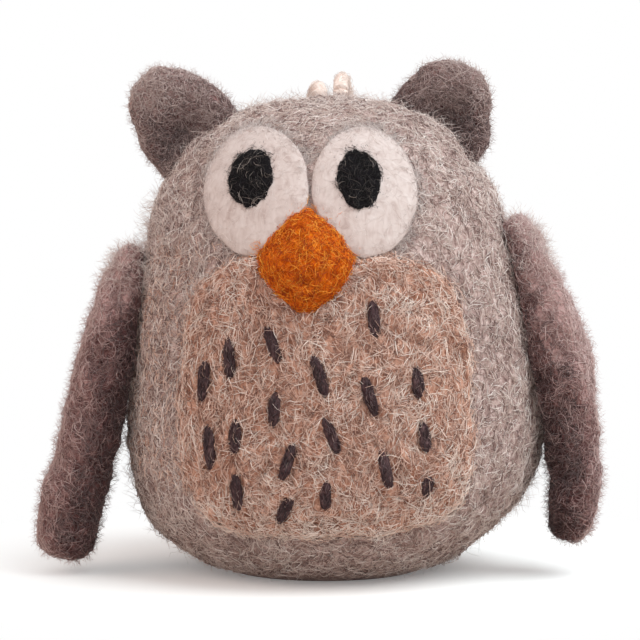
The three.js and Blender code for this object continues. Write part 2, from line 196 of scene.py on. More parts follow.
# loose fibres: each takes one tone from a row of tones, read across its own map
def fibreMaterial(name, tones, sheen):
    material, make, shader = newMaterial(name)
    across = make.node("UVMap", {"uv_map": "OFBake"})
    across = make.node("SeparateXYZ", None, {"Vector": across})
    places = np.linspace(0, 1, len(tones))
    stops = [(float(at), tone(*shade)) for at, shade in zip(places, tones)]
    colour = make.node("ValToRGB", {"stops": stops}, {"Fac": across})
    material.node_tree.links.new(colour.socket, shader.inputs["Base Color"])
    setSockets(shader, {
        "Roughness": 0.8, "Specular IOR Level": 0.25, "Sheen Weight": sheen, "Sheen Roughness": 0.5})
    return material


# puts points and faces into a mesh object, with a map for each corner
def putMesh(name, points, faces, maps):
    mesh = bpy.data.meshes.new(name)
    corners = np.concatenate([face.ravel() for face in faces]).astype(np.int32)
    sizes = np.concatenate([np.full(len(face), face.shape[1]) for face in faces])
    starts = np.concatenate([[0], np.cumsum(sizes)[:-1]]).astype(np.int32)
    mesh.vertices.add(len(points))
    mesh.vertices.foreach_set("co", (points * mm).astype(np.float32).ravel())
    mesh.loops.add(len(corners))
    mesh.loops.foreach_set("vertex_index", corners)
    mesh.polygons.add(len(starts))
    mesh.polygons.foreach_set("loop_start", starts)
    mesh.update(calc_edges=True)
    mesh.polygons.foreach_set("use_smooth", np.ones(len(starts), dtype=bool))
    layer = mesh.uv_layers.new(name="OFBake")
    spots = np.concatenate([spot.reshape(-1, 2) for spot in maps])
    layer.data.foreach_set("uv", spots.astype(np.float32).ravel())
    made = bpy.data.objects.new(name, mesh)
    bpy.context.scene.collection.objects.link(made)
    return made


# gives each point of a felt a tone shift of painted light and shade, lighter above zero, from its place and
# normal
def paint(piece, shift):
    points, normals = (np.empty(len(piece.data.vertices) * 3, np.float32) for _ in range(2))
    piece.data.vertices.foreach_get("co", points)
    piece.data.vertex_normals.foreach_get("vector", normals)
    layer = piece.data.attributes.new("pale", "FLOAT", "POINT")
    layer.data.foreach_set("value", shift(points.reshape(-1, 3) / mm, normals.reshape(-1, 3)))


# closed skin over rows of points that each run once round, with a pole beyond the first and last row
def skinMesh(name, rows, firstPole, lastPole):
    rowCount, around = rows.shape[:2]
    points = np.concatenate([[firstPole], rows.reshape(-1, 3), [lastPole]])
    row, step = np.meshgrid(np.arange(rowCount - 1), np.arange(around), indexing="ij")
    nextStep = (step + 1) % around
    first = 1 + row * around
    second = first + around
    quads = np.stack([first + step, first + nextStep, second + nextStep, second + step], -1)
    quads = quads.reshape(-1, 4)
    run = np.arange(around)
    after = (run + 1) % around
    last = len(points) - 1
    top = 1 + (rowCount - 1) * around
    lowFan = np.stack([np.zeros_like(run), 1 + after, 1 + run], -1)
    highFan = np.stack([np.full_like(run, last), top + run, top + after], -1)
    corner = np.array([[0, 0], [1, 0], [1, 1], [0, 1]])
    quadMap = np.stack([step, row], -1).reshape(-1, 1, 2) + corner
    quadMap = (quadMap + (0, 1)) / (around, rowCount + 1)
    lowMap = np.stack([run, 0 * run], -1)[:, None] + np.array([[0.5, 0], [1, 1], [0, 1]])
    highMap = np.stack([run, 0 * run + rowCount], -1)[:, None] + np.array([[0.5, 1], [0, 0], [1, 0]])
    lowMap, highMap = lowMap / (around, rowCount + 1), highMap / (around, rowCount + 1)
    halves = np.concatenate([quads[:, [0, 1, 2]], quads[:, [0, 2, 3]], lowFan, highFan])
    a, b, c = points[halves[:, 0]], points[halves[:, 1]], points[halves[:, 2]]
    if np.einsum("ij,ij->i", a, np.cross(b, c)).sum() < 0:  # faces point outwards
        quads, lowFan, highFan = quads[:, ::-1], lowFan[:, ::-1], highFan[:, ::-1]
        quadMap, lowMap, highMap = quadMap[:, ::-1], lowMap[:, ::-1], highMap[:, ::-1]
    return putMesh(name, points, [quads, lowFan, highFan], [quadMap, lowMap, highMap])


# closed skin over a surface whose first parameter runs round, its end poles given or in the end rows' middles
def skinOver(name, surface, around, values, ends=None):
    turn, along = np.meshgrid(np.linspace(*fullTurn, around, endpoint=False), values)
    rows = surface(turn, along)
    first, last = ends if ends is not None else (rows[0].mean(0), rows[-1].mean(0))
    return skinMesh(name, rows, first, last)


# smooth lumps about one unit high: a sum of waves in every direction, near one length
def lumps(points, size, seed, waves=40):
    rng = np.random.default_rng(seed)
    way = rng.normal(size=(waves, 3))
    way *= (2 * np.pi / size * rng.uniform(0.6, 1.5, waves) / np.linalg.norm(way, axis=1))[:, None]
    phase = rng.uniform(0, 2 * np.pi, waves)
    return np.sin(points @ way.T + phase).sum(-1) * np.sqrt(2 / waves)


# layers of lumps added up, each layer a length, a height and a seed
def lumpLayers(points, layers):
    return sum(height * lumps(points, size, seed) for size, height, seed in layers)


# vectors divided by their length
def unit(vectors):
    return vectors / np.maximum(np.linalg.norm(vectors, axis=-1, keepdims=True), 1e-9)


# products of vectors along the last axis
def dot(a, b):
    return (a * b).sum(-1)


# eases from 0 at the low value to 1 at the high one, flat at both
def smooth(value, low, high):
    share = np.clip((value - low) / (high - low), 0, 1)
    return share * share * (3 - 2 * share)


# a sine or cosine bent into a superellipse's corner by its power
def squared(wave, power):
    return np.sign(wave) * np.abs(wave) ** (2 / power)


# slopes of a surface along its two parameters, and its outward normal
def slopes(surface, u, v, step=0.004):
    alongU = (surface(u + step, v) - surface(u - step, v)) / (2 * step)
    alongV = (surface(u, v + step) - surface(u, v - step)) / (2 * step)
    return alongU, alongV, unit(np.cross(alongU, alongV))


# places for fibres: even over the surface's area, thinned by a weight
def scatter(surface, uRange, vRange, count, seed, weight, tries):
    rng = np.random.default_rng(seed)
    u = rng.uniform(*uRange, count * tries)
    v = rng.uniform(*vRange, count * tries)
    alongU, alongV, normal = slopes(surface, u, v)
    area = np.linalg.norm(np.cross(alongU, alongV), axis=-1)
    if weight is not None:
        area = area * weight(surface(u, v), normal)
    picked = rng.choice(len(u), count, replace=False, p=area / area.sum())
    return u[picked], v[picked]


# headings at each knot of each fibre: any way, or a flow with a spread, then a bend and a wriggle
def fibreHeadings(ground, along, style, rng, flow):
    each = (len(ground), 1)
    heading = rng.uniform(*fullTurn, each)
    if flow is not None:
        turned = rng.normal(0, style["spread"], each)
        if not style.get("rooted"):
            turned = turned + np.pi * rng.integers(0, 2, each)
        heading = flow(ground) + turned
    bend = rng.normal(0, style["bend"], each)
    wriggle = rng.uniform(0.3, 1, each) * style["wriggle"]
    waves = rng.uniform(0.8, 1.8, each)
    phase = rng.uniform(*fullTurn, each)
    return heading + bend * (along - 0.5) + wriggle * np.sin(2 * np.pi * waves * along + phase)


# middle lines: steps along the headings, turned into steps of the surface's parameters, then a rise
def fibreLines(surface, roots, style, rng, flow):
    u, v = (value[:, None] for value in roots)
    each, knots, reach = (len(u), 1), style["knots"], style["reach"]
    ground = surface(u, v)
    alongU, alongV, normal = slopes(surface, u, v)
    along = np.linspace(0, 1, knots)[None]
    length = rng.uniform(*style["length"], each)
    heading = fibreHeadings(ground, along, style, rng, flow)
    stride = length / (knots - 1)
    across = np.cumsum(np.cos(heading), 1) * stride
    up = np.cumsum(np.sin(heading), 1) * stride
    if not style.get("rooted"):
        across = across - across.mean(1, keepdims=True)
        up = up - up.mean(1, keepdims=True)
    firstWay = unit(alongU)
    secondWay = np.cross(normal, firstWay)
    uu, uv, vv = dot(alongU, alongU), dot(alongU, alongV), dot(alongV, alongV)
    pushU = across * dot(firstWay, alongU)
    pushV = across * dot(firstWay, alongV) + up * dot(secondWay, alongV)
    area = np.maximum(uu * vv - uv * uv, 1e-6)
    moveU = np.clip((vv * pushU - uv * pushV) / area, -reach, reach)
    moveV = np.clip((uu * pushV - uv * pushU) / area, -reach, reach)
    if style.get("rooted"):  # one end free: out of the felt and away
        rise = rng.uniform(*style["lift"], each) * along ** rng.uniform(0.7, 1.6, each)
        rise = rise - 0.15 * (1 - along)
    else:  # both ends felted in, the middle in and out
        rise = rng.uniform(*style["lift"], each) * np.sin(np.pi * along) ** 0.6
        ripple = np.sin(2 * np.pi * rng.uniform(0.8, 2, each) * along + rng.uniform(0, 6, each))
        rise = rise + style["ripple"] * ripple - style["dive"] * np.abs(2 * along - 1) ** 3
    return surface(u + moveU, v + moveV) + normal * rise[..., None], ground, normal


# faces of one fibre and their places on its map: rings of three points between two tips
def fibreFaces(knots):
    rings = knots - 2
    end, high = 3 * rings + 1, 3 * rings - 2
    quads, quadSpots, tips, tipSpots = [], [], [], []
    for level in range(rings - 1):
        for corner in range(3):
            low, other = 1 + 3 * level, (corner + 1) % 3
            quads.append([low + corner, low + 3 + corner, low + 3 + other, low + other])
            quadSpots.append([[corner, level + 1], [corner, level + 2],
                              [corner + 1, level + 2], [corner + 1, level + 1]])
    for corner in range(3):
        other = (corner + 1) % 3
        tips += [[0, 1 + corner, 1 + other], [end, high + other, high + corner]]
        tipSpots += [[[corner + 0.5, 0], [corner, 1], [corner + 1, 1]],
                     [[corner + 0.5, knots - 1], [corner + 1, knots - 2], [corner, knots - 2]]]
    return quads, tips, quadSpots, tipSpots


# fibres: three-sided pointed tubes whose middle lines wander over a surface, dip in and rise out
def layFibres(name, surface, roots, style, seed, flow=None, bias=None):
    rng = np.random.default_rng(seed)
    middle, ground, normal = fibreLines(surface, roots, style, rng, flow)
    count, knots = middle.shape[:2]
    along = np.linspace(0, 1, knots)[None]
    tangent = unit(np.gradient(middle, axis=1))
    side = unit(np.cross(tangent, np.broadcast_to(normal, tangent.shape)))
    over = np.cross(side, tangent)
    radius = rng.uniform(*style["radius"], (count, 1)) * (1 - 0.45 * np.abs(2 * along - 1) ** 2)
    turn = np.array([0.5, 7 / 6, 11 / 6]) * np.pi
    ring = side[:, 1:-1, None] * np.cos(turn)[:, None] + over[:, 1:-1, None] * np.sin(turn)[:, None]
    ring = middle[:, 1:-1, None] + ring * radius[:, 1:-1, None, None]
    points = np.concatenate([middle[:, :1], ring.reshape(count, -1, 3), middle[:, -1:]], 1)
    quads, tips, quadSpots, tipSpots = (np.array(rows)[None] for rows in fibreFaces(knots))
    offset = np.arange(count)[:, None, None] * points.shape[1]
    columns = style["tones"]
    draw = rng.uniform(0, 1, count)
    if bias is not None:
        draw = np.clip(draw + bias(ground, normal)[:, 0], 0, 0.999)
    pick = np.searchsorted(np.cumsum(columns)[:-1] / sum(columns), draw)
    strip = (pick[:, None, None, None] + 0.2) / len(columns)
    width = np.array([0.2 / len(columns), 1 / (knots - 1)])
    shift = np.concatenate([strip, np.zeros_like(strip)], -1)
    return putMesh(name, points.reshape(-1, 3),
                   [(quads + offset).reshape(-1, 4), (tips + offset).reshape(-1, 3)],
                   [quadSpots * width + shift, tipSpots * width + shift])


# gives a piece its material, ties it to its body, or bakes its place into its points where it has a bend, and
# hides the CAD nodes that it stands for
def dress(piece, material, slot, body, nodes=(), fill=None, bend=None):
    piece.data.materials.clear()
    piece.data.materials.append(material)
    if bend is None:
        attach(piece, body)
    else:
        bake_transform(piece)
    if nodes:
        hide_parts(*nodes)
    return piece


# scatters and lays fibres of one style as one piece; like pieces take the style's two seeds plus their number
def coat(name, surface, style, wool, weight=None, flow=None, bias=None, number=0, body="owl_body", bend=None):
    placeSeed, laySeed = style["seeds"]
    tries = style.get("tries", 6)
    roots = scatter(surface, *style["spans"], style["count"], placeSeed + number, weight, tries)
    fibres = layFibres(name, surface, roots, style, laySeed + number, flow, bias)
    return dress(fibres, *wool, body, bend=bend)


# hanging loop: the points are the yarn's route in the CAD, in millimetres
loopYarn = {
    "diameter": 2.3,
    "plies": 2,
    "plyDepth": 0.16,
    "twistLength": 5.2,
    "around": 20,
    "steps": 420,
    "inside": (0.9, 6, 45),  # a spot in the body, which the yarn's rings are set out from
    "route": [
        (-0.7, 9, 73.75), (-0.9, 11.6, 73.9), (-1.2, 14.4, 73.3), (-1.6, 17, 72), (-2.1, 19.6, 69.9),
        (-2.7, 22, 67.2), (-3.4, 24.3, 63.8), (-4.1, 26.4, 59.6), (-4.8, 28.3, 54.6), (-5.4, 29.5, 49.2),
        (-5.8, 30.4, 43.6), (-5.9, 31, 38), (-5.3, 31.4, 33.2), (-3.2, 31.6, 29.4), (0.9, 31.7, 27.6),
        (5, 31.6, 29.4), (7.1, 31.4, 33.2), (7.7, 31, 38.4), (7.6, 30.4, 44), (7.2, 29.5, 49.6),
        (6.6, 28.3, 55), (5.9, 26.6, 60.2), (5.2, 24.7, 64.8), (4.4, 22.6, 68.7), (3.7, 20.2, 71.6),
        (3.2, 17.3, 73.9), (2.9, 14.2, 75.1), (2.7, 11.4, 74.9), (2.6, 9, 73.75),
    ],
    "legs": {"left": -0.7, "right": 2.6},  # where each leg stands across
    "legBack": 9, "legHeights": (63.6, 68, 71, 73.75), "legSteps": 40, "legTip": 0.5, "legInside": (-20, 68),
}
loopFuzz = {
    "spans": (fullTurn, (0.02, 0.98)), "count": 1700, "seeds": (31, 32), "knots": 5,
    "length": (2.0, 4.0), "radius": (0.025, 0.04), "lift": (0.0, 0.45), "ripple": 0.08, "dive": 0.2,
    "bend": 1.5, "wriggle": 0.8, "reach": 1.2, "tones": [2, 4, 3],
}
yarnLook = {
    "curl": 900.0, "sway": 0.0012, "fine": 2600.0, "long": 500.0, "mottle": 300.0, "pits": 1500.0,
    "relief": 0.0002, "sheen": 0.25,
    "stops": [(0.0, (190, 164, 152)), (0.45, (228, 207, 197)), (1.0, (244, 231, 224))],
}
creamYarn = feltMaterial("creamYarn", yarnLook)
creamFibre = fibreMaterial("creamFibre", [(212, 188, 177), (230, 211, 202), (244, 232, 225)], 0.2)


# smooth line through points: each span a cubic whose slopes come from the points before and after
def lineThrough(points, count):
    given = np.asarray(points, float)
    given = np.concatenate([[2 * given[0] - given[1]], given, [2 * given[-1] - given[-2]]])
    place = np.linspace(0, len(given) - 3, count)
    span = np.minimum(place.astype(int), len(given) - 4)
    t = (place - span)[:, None]
    a, b, c, d = (given[span + step] for step in range(4))
    slopeIn, slopeOut = (c - a) / 2, (d - b) / 2
    return ((2 * t**3 - 3 * t**2 + 1) * b + (t**3 - 2 * t**2 + t) * slopeIn
            + (-2 * t**3 + 3 * t**2) * c + (t**3 - t**2) * slopeOut)


# yarn: plies twisted round a line, the section a lobed ring that turns with the length run
def yarnSurface(line, inside):
    run = np.concatenate([[0], np.cumsum(np.linalg.norm(np.diff(line, axis=0), axis=1))])
    tangent = unit(np.gradient(line, axis=0))
    side = unit(np.cross(tangent, line - np.asarray(inside)))
    over = np.cross(side, tangent)

    def surface(turn, along):
        index = np.clip(along, 0, 1) * (len(line) - 1)
        low = np.minimum(index.astype(int), len(line) - 2)
        share = (index - low)[..., None]
        middle, ran, aside, above = (
            values[low] * (1 - share) + values[low + 1] * share
            for values in (line, run[:, None], side, over))
        twist = 2 * np.pi * ran[..., 0] / loopYarn["twistLength"]
        lobe = np.abs(np.cos(loopYarn["plies"] / 2 * (turn - twist)))
        radius = loopYarn["diameter"] / 2 * (1 + loopYarn["plyDepth"] * (lobe - 0.7))
        out = aside * np.cos(turn)[..., None] - above * np.sin(turn)[..., None]
        return middle + out * radius[..., None]

    return surface, run[-1]


loopLine = lineThrough(loopYarn["route"], loopYarn["steps"])
loopSurface, loopLength = yarnSurface(loopLine, loopYarn["inside"])
loopPiece = skinOver("hanging_loop_yarn", loopSurface, loopYarn["around"],
                     np.linspace(0, 1, loopYarn["steps"]), (loopLine[0], loopLine[-1]))
dress(loopPiece, creamYarn, "cream_yarn", "yarn_loop", ["hanging_loop"])
loopHairs = coat("hanging_loop_fuzz", loopSurface, loopFuzz, (creamFibre, "cream_yarn"), body="yarn_loop")
(loopLine * mm).tolist()
for side, legX in loopYarn["legs"].items():
    legPoints = [(legX, loopYarn["legBack"], height) for height in loopYarn["legHeights"]]
    legLine = lineThrough(legPoints, loopYarn["legSteps"])
    legSurface = yarnSurface(legLine, (legX, *loopYarn["legInside"]))[0]
    legRows = np.linspace(0, 1, loopYarn["legSteps"])
    legEnds = (legLine[0], legLine[-1] + (0, 0, loopYarn["legTip"]))
    leg = skinOver(side + "_loop_root", legSurface, loopYarn["around"], legRows, legEnds)
    dress(leg, creamYarn, "cream_yarn", "owl_body", [side + "_loop_leg"])
print("loop laid, length mm", round(float(loopLength), 1))

# body: the same egg as the CAD, widest low down, cut flat below
bodyForm = {
    "height": 73.0, "width": 64.6, "depth": 60.0, "base": 29.0, "widest": 23.0,
    "flankPower": 2.3, "shoulderPower": 2.1, "crownPower": 3.0, "hipDrift": 1.9, "headDrift": 0.4,
    "around": 220, "rows": 160, "baseSpan": 0.3,
    "swellHeight": 0.5, "swellLength": 13.0, "swellWaves": 7, "swellSpread": 0.25,
    "swellFrom": (-12.0, -2.0), "swellFoot": 6.0, "swellCentre": (0.0, 0.0, 33.0),
    "lumps": [(4.6, 0.16, 2), (1.8, 0.08, 3)],  # length, height, seed
    "sink": 0.4, "sinkFrom": (-20.0, -8.0),  # room for the fibres inside the CAD skin, behind the face
    "bareFoot": 1.5, "poleGap": 0.006,  # fibres keep off the floor by a height, off the pole by an angle
    "mottle": [(8.0, 0.09, 22), (3.0, 0.1, 23)], "crownDark": 0.06, "crownFrom": (62, 70),
    "flankFlow": (11.0, 1.3, 21), "flankLean": 0.9, "crownFlow": (6.0, 0.4, 24), "crownTurn": (60, 69),
}
baseShare = 1 - (bodyForm["base"] / bodyForm["width"]) ** bodyForm["flankPower"]
bodyForm["flank"] = bodyForm["widest"] / baseShare ** (1 / bodyForm["flankPower"])
lowestSine = (bodyForm["widest"] / bodyForm["flank"]) ** (bodyForm["flankPower"] / 2)
bodyForm["lowest"] = float(np.arcsin(lowestSine))
bodyForm["highest"] = np.pi / 2 - bodyForm["poleGap"]


# half width at a height: one superellipse below the widest line, another above it
def bodyHalf(z):
    drop = np.clip((bodyForm["widest"] - z) / bodyForm["flank"], 0, 1)
    climb = np.clip((z - bodyForm["widest"]) / (bodyForm["height"] - bodyForm["widest"]), 0, 1)
    low = (1 - drop ** bodyForm["flankPower"]) ** (1 / bodyForm["flankPower"])
    high = (1 - climb ** bodyForm["shoulderPower"]) ** (1 / bodyForm["crownPower"])
    return np.maximum(bodyForm["width"] / 2 * np.where(z < bodyForm["widest"], low, high), 0.01)


# sideways drift of the middle: out to the hip, then back to the head
def bodyDrift(z):
    hip, head = bodyForm["hipDrift"], bodyForm["headDrift"]
    low = hip * smooth(z, 0, bodyForm["widest"])
    high = hip + (head - hip) * smooth(z, bodyForm["widest"], bodyForm["height"])
    return np.where(z < bodyForm["widest"], low, high)


# rings of the egg by a rising angle, past the lowest angle the flat base
def bodySurface(turn, rise):
    lowest = bodyForm["lowest"]
    below = bodyForm["flank"] * np.sin(np.clip(-rise, 0, lowest)) ** (2 / bodyForm["flankPower"])
    above = np.sin(np.clip(rise, 0, np.pi / 2)) ** (2 / bodyForm["shoulderPower"])
    above = (bodyForm["height"] - bodyForm["widest"]) * above
    z = bodyForm["widest"] + np.where(rise < 0, -below, above)
    z = np.maximum(z, 0)
    half = bodyHalf(z) * (1 - np.clip((-lowest - rise) / bodyForm["baseSpan"], 0, 1))
    return np.stack([bodyDrift(z) + half * np.cos(turn),
                     half * bodyForm["depth"] / bodyForm["width"] * np.sin(turn), z], -1)


# swells of the CAD coat, waves that cross each other, flat in front, and finer lumps of the felt
def bodyRelief(points):
    wave = np.arange(bodyForm["swellWaves"])
    turn = wave * np.pi * (3 - np.sqrt(5))
    way = unit(np.stack([np.cos(turn), np.sin(turn), wave % 3 - 1.0], -1))
    way = way / (bodyForm["swellLength"] * (1 + bodyForm["swellSpread"] * np.sin(turn)))[:, None]
    crossing = np.sin(2 * np.pi * points @ way.T + wave**2).sum(-1)
    swell = bodyForm["swellHeight"] * np.tanh(crossing / np.sqrt(bodyForm["swellWaves"]))
    swell = swell * smooth(points[..., 1], *bodyForm["swellFrom"])
    relief = lumpLayers(points, bodyForm["lumps"])
    return (swell + relief) * smooth(points[..., 2], 0, bodyForm["swellFoot"])


# the egg moved out by its relief and in by its sink, along lines from the swells' centre
def bodyFelt(turn, rise):
    points = bodySurface(turn, rise)
    out = unit(points - bodyForm["swellCentre"])
    behind = smooth(points[..., 1], *bodyForm["sinkFrom"])
    sink = bodyForm["sink"] * behind * smooth(points[..., 2], 0, bodyForm["swellFoot"])
    points = points + out * (bodyRelief(points) - sink)[..., None]
    points[..., 2] = np.maximum(points[..., 2], 0)
    return points


# front of the body under a spot seen from ahead, with a share of its lumps
def frontGround(x, z, lumpShare=1.0):
    half = bodyHalf(z)
    across = np.clip((x - bodyDrift(z)) / half, -0.995, 0.995)
    y = -half * bodyForm["depth"] / bodyForm["width"] * np.sqrt(1 - across**2)
    points = np.stack([x, y, z], -1)
    points[..., 1] -= lumpShare * bodyRelief(points)
    return points


# how deep a point lies in the body: under 1 is inside
def bodyShare(points, gap=0.0):
    half = bodyHalf(points[..., 2]) + gap
    across = (points[..., 0] - bodyDrift(points[..., 2])) / half
    return np.hypot(across, points[..., 1] / (half * bodyForm["depth"] / bodyForm["width"]))


# weight for scattering: only what lies past a share of the body's half width
def outsideBody(share):
    return lambda points, normal: np.where(bodyShare(points) > share, 1.0, 0.0)


# front patches: tilted superellipses, seat and stand in millimetres ahead of the body's felt
faceX, eyeZ = -2.05, 60.2
eyeDisc = {
    "z": eyeZ, "width": 15.8, "tall": 18.8, "power": 2.0, "seat": 0.0, "stand": 1.4, "dome": 4.0,
    "wobble": 0.016, "lumpShare": 0.0, "lumps": [(7.0, 0.05, 71)], "around": 120, "rows": 36, "sunk": 1.2,
}
pupilSpot = {
    "z": eyeZ + 2, "width": 6.6, "tall": 8.6, "power": 2.0, "seat": 1.2, "stand": 0.9, "dome": 2.4,
    "wobble": 0.05, "lumpShare": 0.0, "lumps": [(1.5, 0.08, 73)], "around": 90, "rows": 24, "sunk": 0.3,
}
patchForms = {
    "belly": {"x": 0.2, "z": 30.0, "width": 43.4, "tall": 42.2, "power": 3.8, "taper": 0.05, "tilt": 0,
              "seat": 0.0, "stand": 1.3, "dome": 5.0, "wobble": 0.014, "seed": 11,
              "around": 200, "rows": 70, "sunk": 1.2},
    "left_eye": {**eyeDisc, "x": faceX - 8.13, "tilt": 12, "seed": 12},
    "right_eye": {**eyeDisc, "x": faceX + 8.04, "tilt": -8, "seed": 13},
    "left_pupil": {**pupilSpot, "x": faceX - 8.93, "tilt": 19, "seed": 14},
    "right_pupil": {**pupilSpot, "x": faceX + 7.24, "tilt": -8, "seed": 15},
    "beak": {"x": faceX - 0.65, "z": eyeZ - 10.0, "width": 14.0, "tall": 14.7, "power": 1.45, "tilt": 0,
             "seat": 1.0, "stand": 5.0, "dome": 1.7, "wobble": 0.012, "seed": 16,
             "lumps": [(3.2, 0.14, 81), (1.3, 0.05, 82)], "around": 140, "rows": 46, "sunk": 1.4},
}
bellyForm, beakForm = patchForms["belly"], patchForms["beak"]


# a spot from a patch's middle, turned to lie across and along the patch
def patchSpot(form, x, z):
    lean = np.radians(form["tilt"])
    dx, dz = x - form["x"], z - form["z"]
    return dx * np.cos(lean) - dz * np.sin(lean), dx * np.sin(lean) + dz * np.cos(lean)


# turns a spot into shares of a patch's outline, 1 on its edge, which wobbles a little
def patchShare(form, x, z):
    across, up = patchSpot(form, x, z)
    b = up / (form["tall"] / 2)
    a = across / (form["width"] / 2) / (1 - form.get("taper", 0) * np.clip(b, -1, 1))
    share = (np.abs(a) ** form["power"] + np.abs(b) ** form["power"]) ** (1 / form["power"])
    around = np.arctan2(b, a)
    edge = sum(np.sin(around * beat + form["seed"] * beat) for beat in (3, 5, 8, 13)) * form["wobble"] / 2
    return share / (1 + edge)


# the same share for points in space
def shareAt(form, points):
    return patchShare(form, points[..., 0], points[..., 2])


# patch surface over a spot: the body's front, a rounded step up to the patch's stand, lumps and extra relief
def patchSurface(form, extra=None):
    def surface(x, z):
        share = np.clip(patchShare(form, x, z), 0, 1)
        points = frontGround(x, z, form.get("lumpShare", 1.0))
        rise = form["seat"] + form["stand"] * (1 - share ** form["dome"]) ** (1 / form["dome"])
        rise = np.where(share < 1, rise, form["seat"])
        rise = rise + lumpLayers(points, form.get("lumps", ()))
        if extra is not None:
            rise = rise + extra(points, share)
        points[..., 1] -= rise
        return points
    return surface


# a patch's closed skin: its face from the middle out, over the rim, and back underneath
def patchMesh(name, form, extra=None):
    turn = np.linspace(*fullTurn, form["around"], endpoint=False)
    lean = np.radians(form["tilt"])
    rise = squared(np.sin(turn), form["power"])
    across = form["width"] / 2 * (1 - form.get("taper", 0) * rise) * squared(np.cos(turn), form["power"])
    up = form["tall"] / 2 * rise
    share = np.sin(np.linspace(0, np.pi / 2, form["rows"] + 1)[1:]) ** (2 / form["dome"])
    share = np.concatenate([np.linspace(0, share[0], 4)[1:-1], share])[:, None]
    edgeX = across * np.cos(lean) + up * np.sin(lean)
    edgeZ = -across * np.sin(lean) + up * np.cos(lean)
    surface = patchSurface(form, extra)
    face = surface(form["x"] + share * edgeX, form["z"] + share * edgeZ)
    backShare = np.array([0.99, 0.8, 0.5, 0.2])[:, None]
    back = frontGround(form["x"] + backShare * edgeX, form["z"] + backShare * edgeZ)
    behind = form["sunk"] - form["seat"] * 0.5
    back[..., 1] += behind
    middle = np.array([form["x"]]), np.array([form["z"]])
    lastPole = frontGround(*middle)[0] + (0, behind, 0)
    made = skinMesh(name, np.concatenate([face, back]), surface(*middle)[0], lastPole)
    return made, surface


# weight: inside a patch up to a share, without what lies under others
def inPatch(form, edge, without=()):
    def weight(points, normal):
        keep = np.where(shareAt(form, points) < edge, 1.0, 0.0)
        for other in without:
            keep = np.where(shareAt(other, points) < 0.96, 0.0, keep)
        return keep
    return weight


# weight: a band along a patch's edge
def onRim(form, width):
    return lambda points, normal: np.where(np.abs(shareAt(form, points) - 0.98) < width, 1.0, 0.0)


# flow: heading away from a patch's middle
def outOf(form):
    return lambda points: np.arctan2(points[..., 2] - form["z"], points[..., 0] - form["x"])


# a fibre style for a patch, in millimetres: the box that its fibres root in and how far they may run
def onPatch(form, style):
    half = max(form["width"], form["tall"]) / 2
    if form["tilt"]:
        half = np.hypot(form["width"], form["tall"]) / 2
    half = half * 1.05  # a little past the edge
    box = tuple((form[axis] - half, form[axis] + half) for axis in "xz")
    return {**style, "spans": box, "reach": 20.0}


# kinds of fibre: felted in at both ends, loops that stand off, short hairs with one end free, dark flecks,
# stray hairs that lie loose in wide bows, and hairs along a patch's rim; sizes in millimetres, angles in
# radians, reach in the surface's own parameters, tones the number of fibres for each tone, dark to light
matted = {
    "knots": 5, "length": (2.2, 5.0), "radius": (0.045, 0.08), "lift": (0.02, 0.42), "ripple": 0.13,
    "dive": 0.35, "bend": 1.8, "wriggle": 0.5, "reach": 1.0, "spread": 0.8, "tones": [3, 4, 5, 5, 4, 2],
}
flyaway = {
    "knots": 6, "length": (2.5, 5.5), "radius": (0.022, 0.036), "lift": (0.3, 1.1), "ripple": 0.1,
    "dive": 0.4, "bend": 2.2, "wriggle": 0.6, "reach": 1.0, "spread": 1.5, "tones": [1, 4, 6, 5, 3, 1],
}
halo = {
    "knots": 5, "length": (1.0, 2.8), "radius": (0.014, 0.025), "lift": (0.4, 1.8), "bend": 3.2,
    "wriggle": 0.8, "reach": 1.0, "rooted": True, "tones": [0, 1, 4, 6, 6, 4],
}
flecks = {
    **matted, "knots": 4, "length": (0.5, 1.2), "radius": (0.06, 0.1), "lift": (0.25, 0.45), "dive": 0.1,
    "tones": [1, 0, 0, 0, 0, 0],
}
strays = {
    **flyaway, "knots": 12, "length": (5.0, 9.5), "radius": (0.026, 0.04), "bend": 3.0,
    "tones": [0, 0, 0, 1, 4, 6],
}
rimHairs = {
    **halo, "knots": 4, "length": (0.7, 2.2), "radius": (0.02, 0.036), "lift": (0.05, 0.45), "bend": 1.6,
    "spread": 0.9, "tries": 16,
}

# body felt and the fibres on it
greyLook = {
    **feltLook, "mottle": 130.0,
    "stops": [(0.0, (94, 69, 67)), (0.4, (154, 129, 124)), (0.75, (198, 175, 170)), (1.0, (226, 209, 205))],
}
greyWool = feltMaterial("greyWool", greyLook)
greyFibre = fibreMaterial("greyFibre", [
    (100, 74, 70), (174, 148, 141), (204, 182, 175), (221, 204, 198), (234, 221, 216), (247, 239, 236)], 0.2)
greyHair = (greyFibre, "grey_wool")

underside = -bodyForm["lowest"] - bodyForm["baseSpan"]
body = skinOver("body_felt_dressed", bodyFelt, bodyForm["around"],
                np.linspace(underside, np.pi / 2, bodyForm["rows"] + 2)[1:-1])
dress(body, greyWool, "grey_wool", "owl_body", ["body_felt"], 0.9)
bareEdges = {"belly": 0.97, "left_eye": 0.99, "right_eye": 0.99, "beak": 1.0}


# weight: bare felt only, nothing under the patches or the base
def bareBody(points, normal):
    keep = np.where(points[..., 2] < bodyForm["bareFoot"], 0.0, 1.0)
    for patch, edge in bareEdges.items():
        under = (shareAt(patchForms[patch], points) < edge) & (points[..., 1] < 0)
        keep = np.where(under, 0.0, keep)
    return keep


# flow: any way on the flanks, round the crown on top
def bodyFlow(points):
    crown = smooth(points[..., 2], *bodyForm["crownTurn"])
    flank = lumpLayers(points, [bodyForm["flankFlow"]]) + bodyForm["flankLean"]
    return flank * (1 - crown) + lumpLayers(points, [bodyForm["crownFlow"]]) * crown


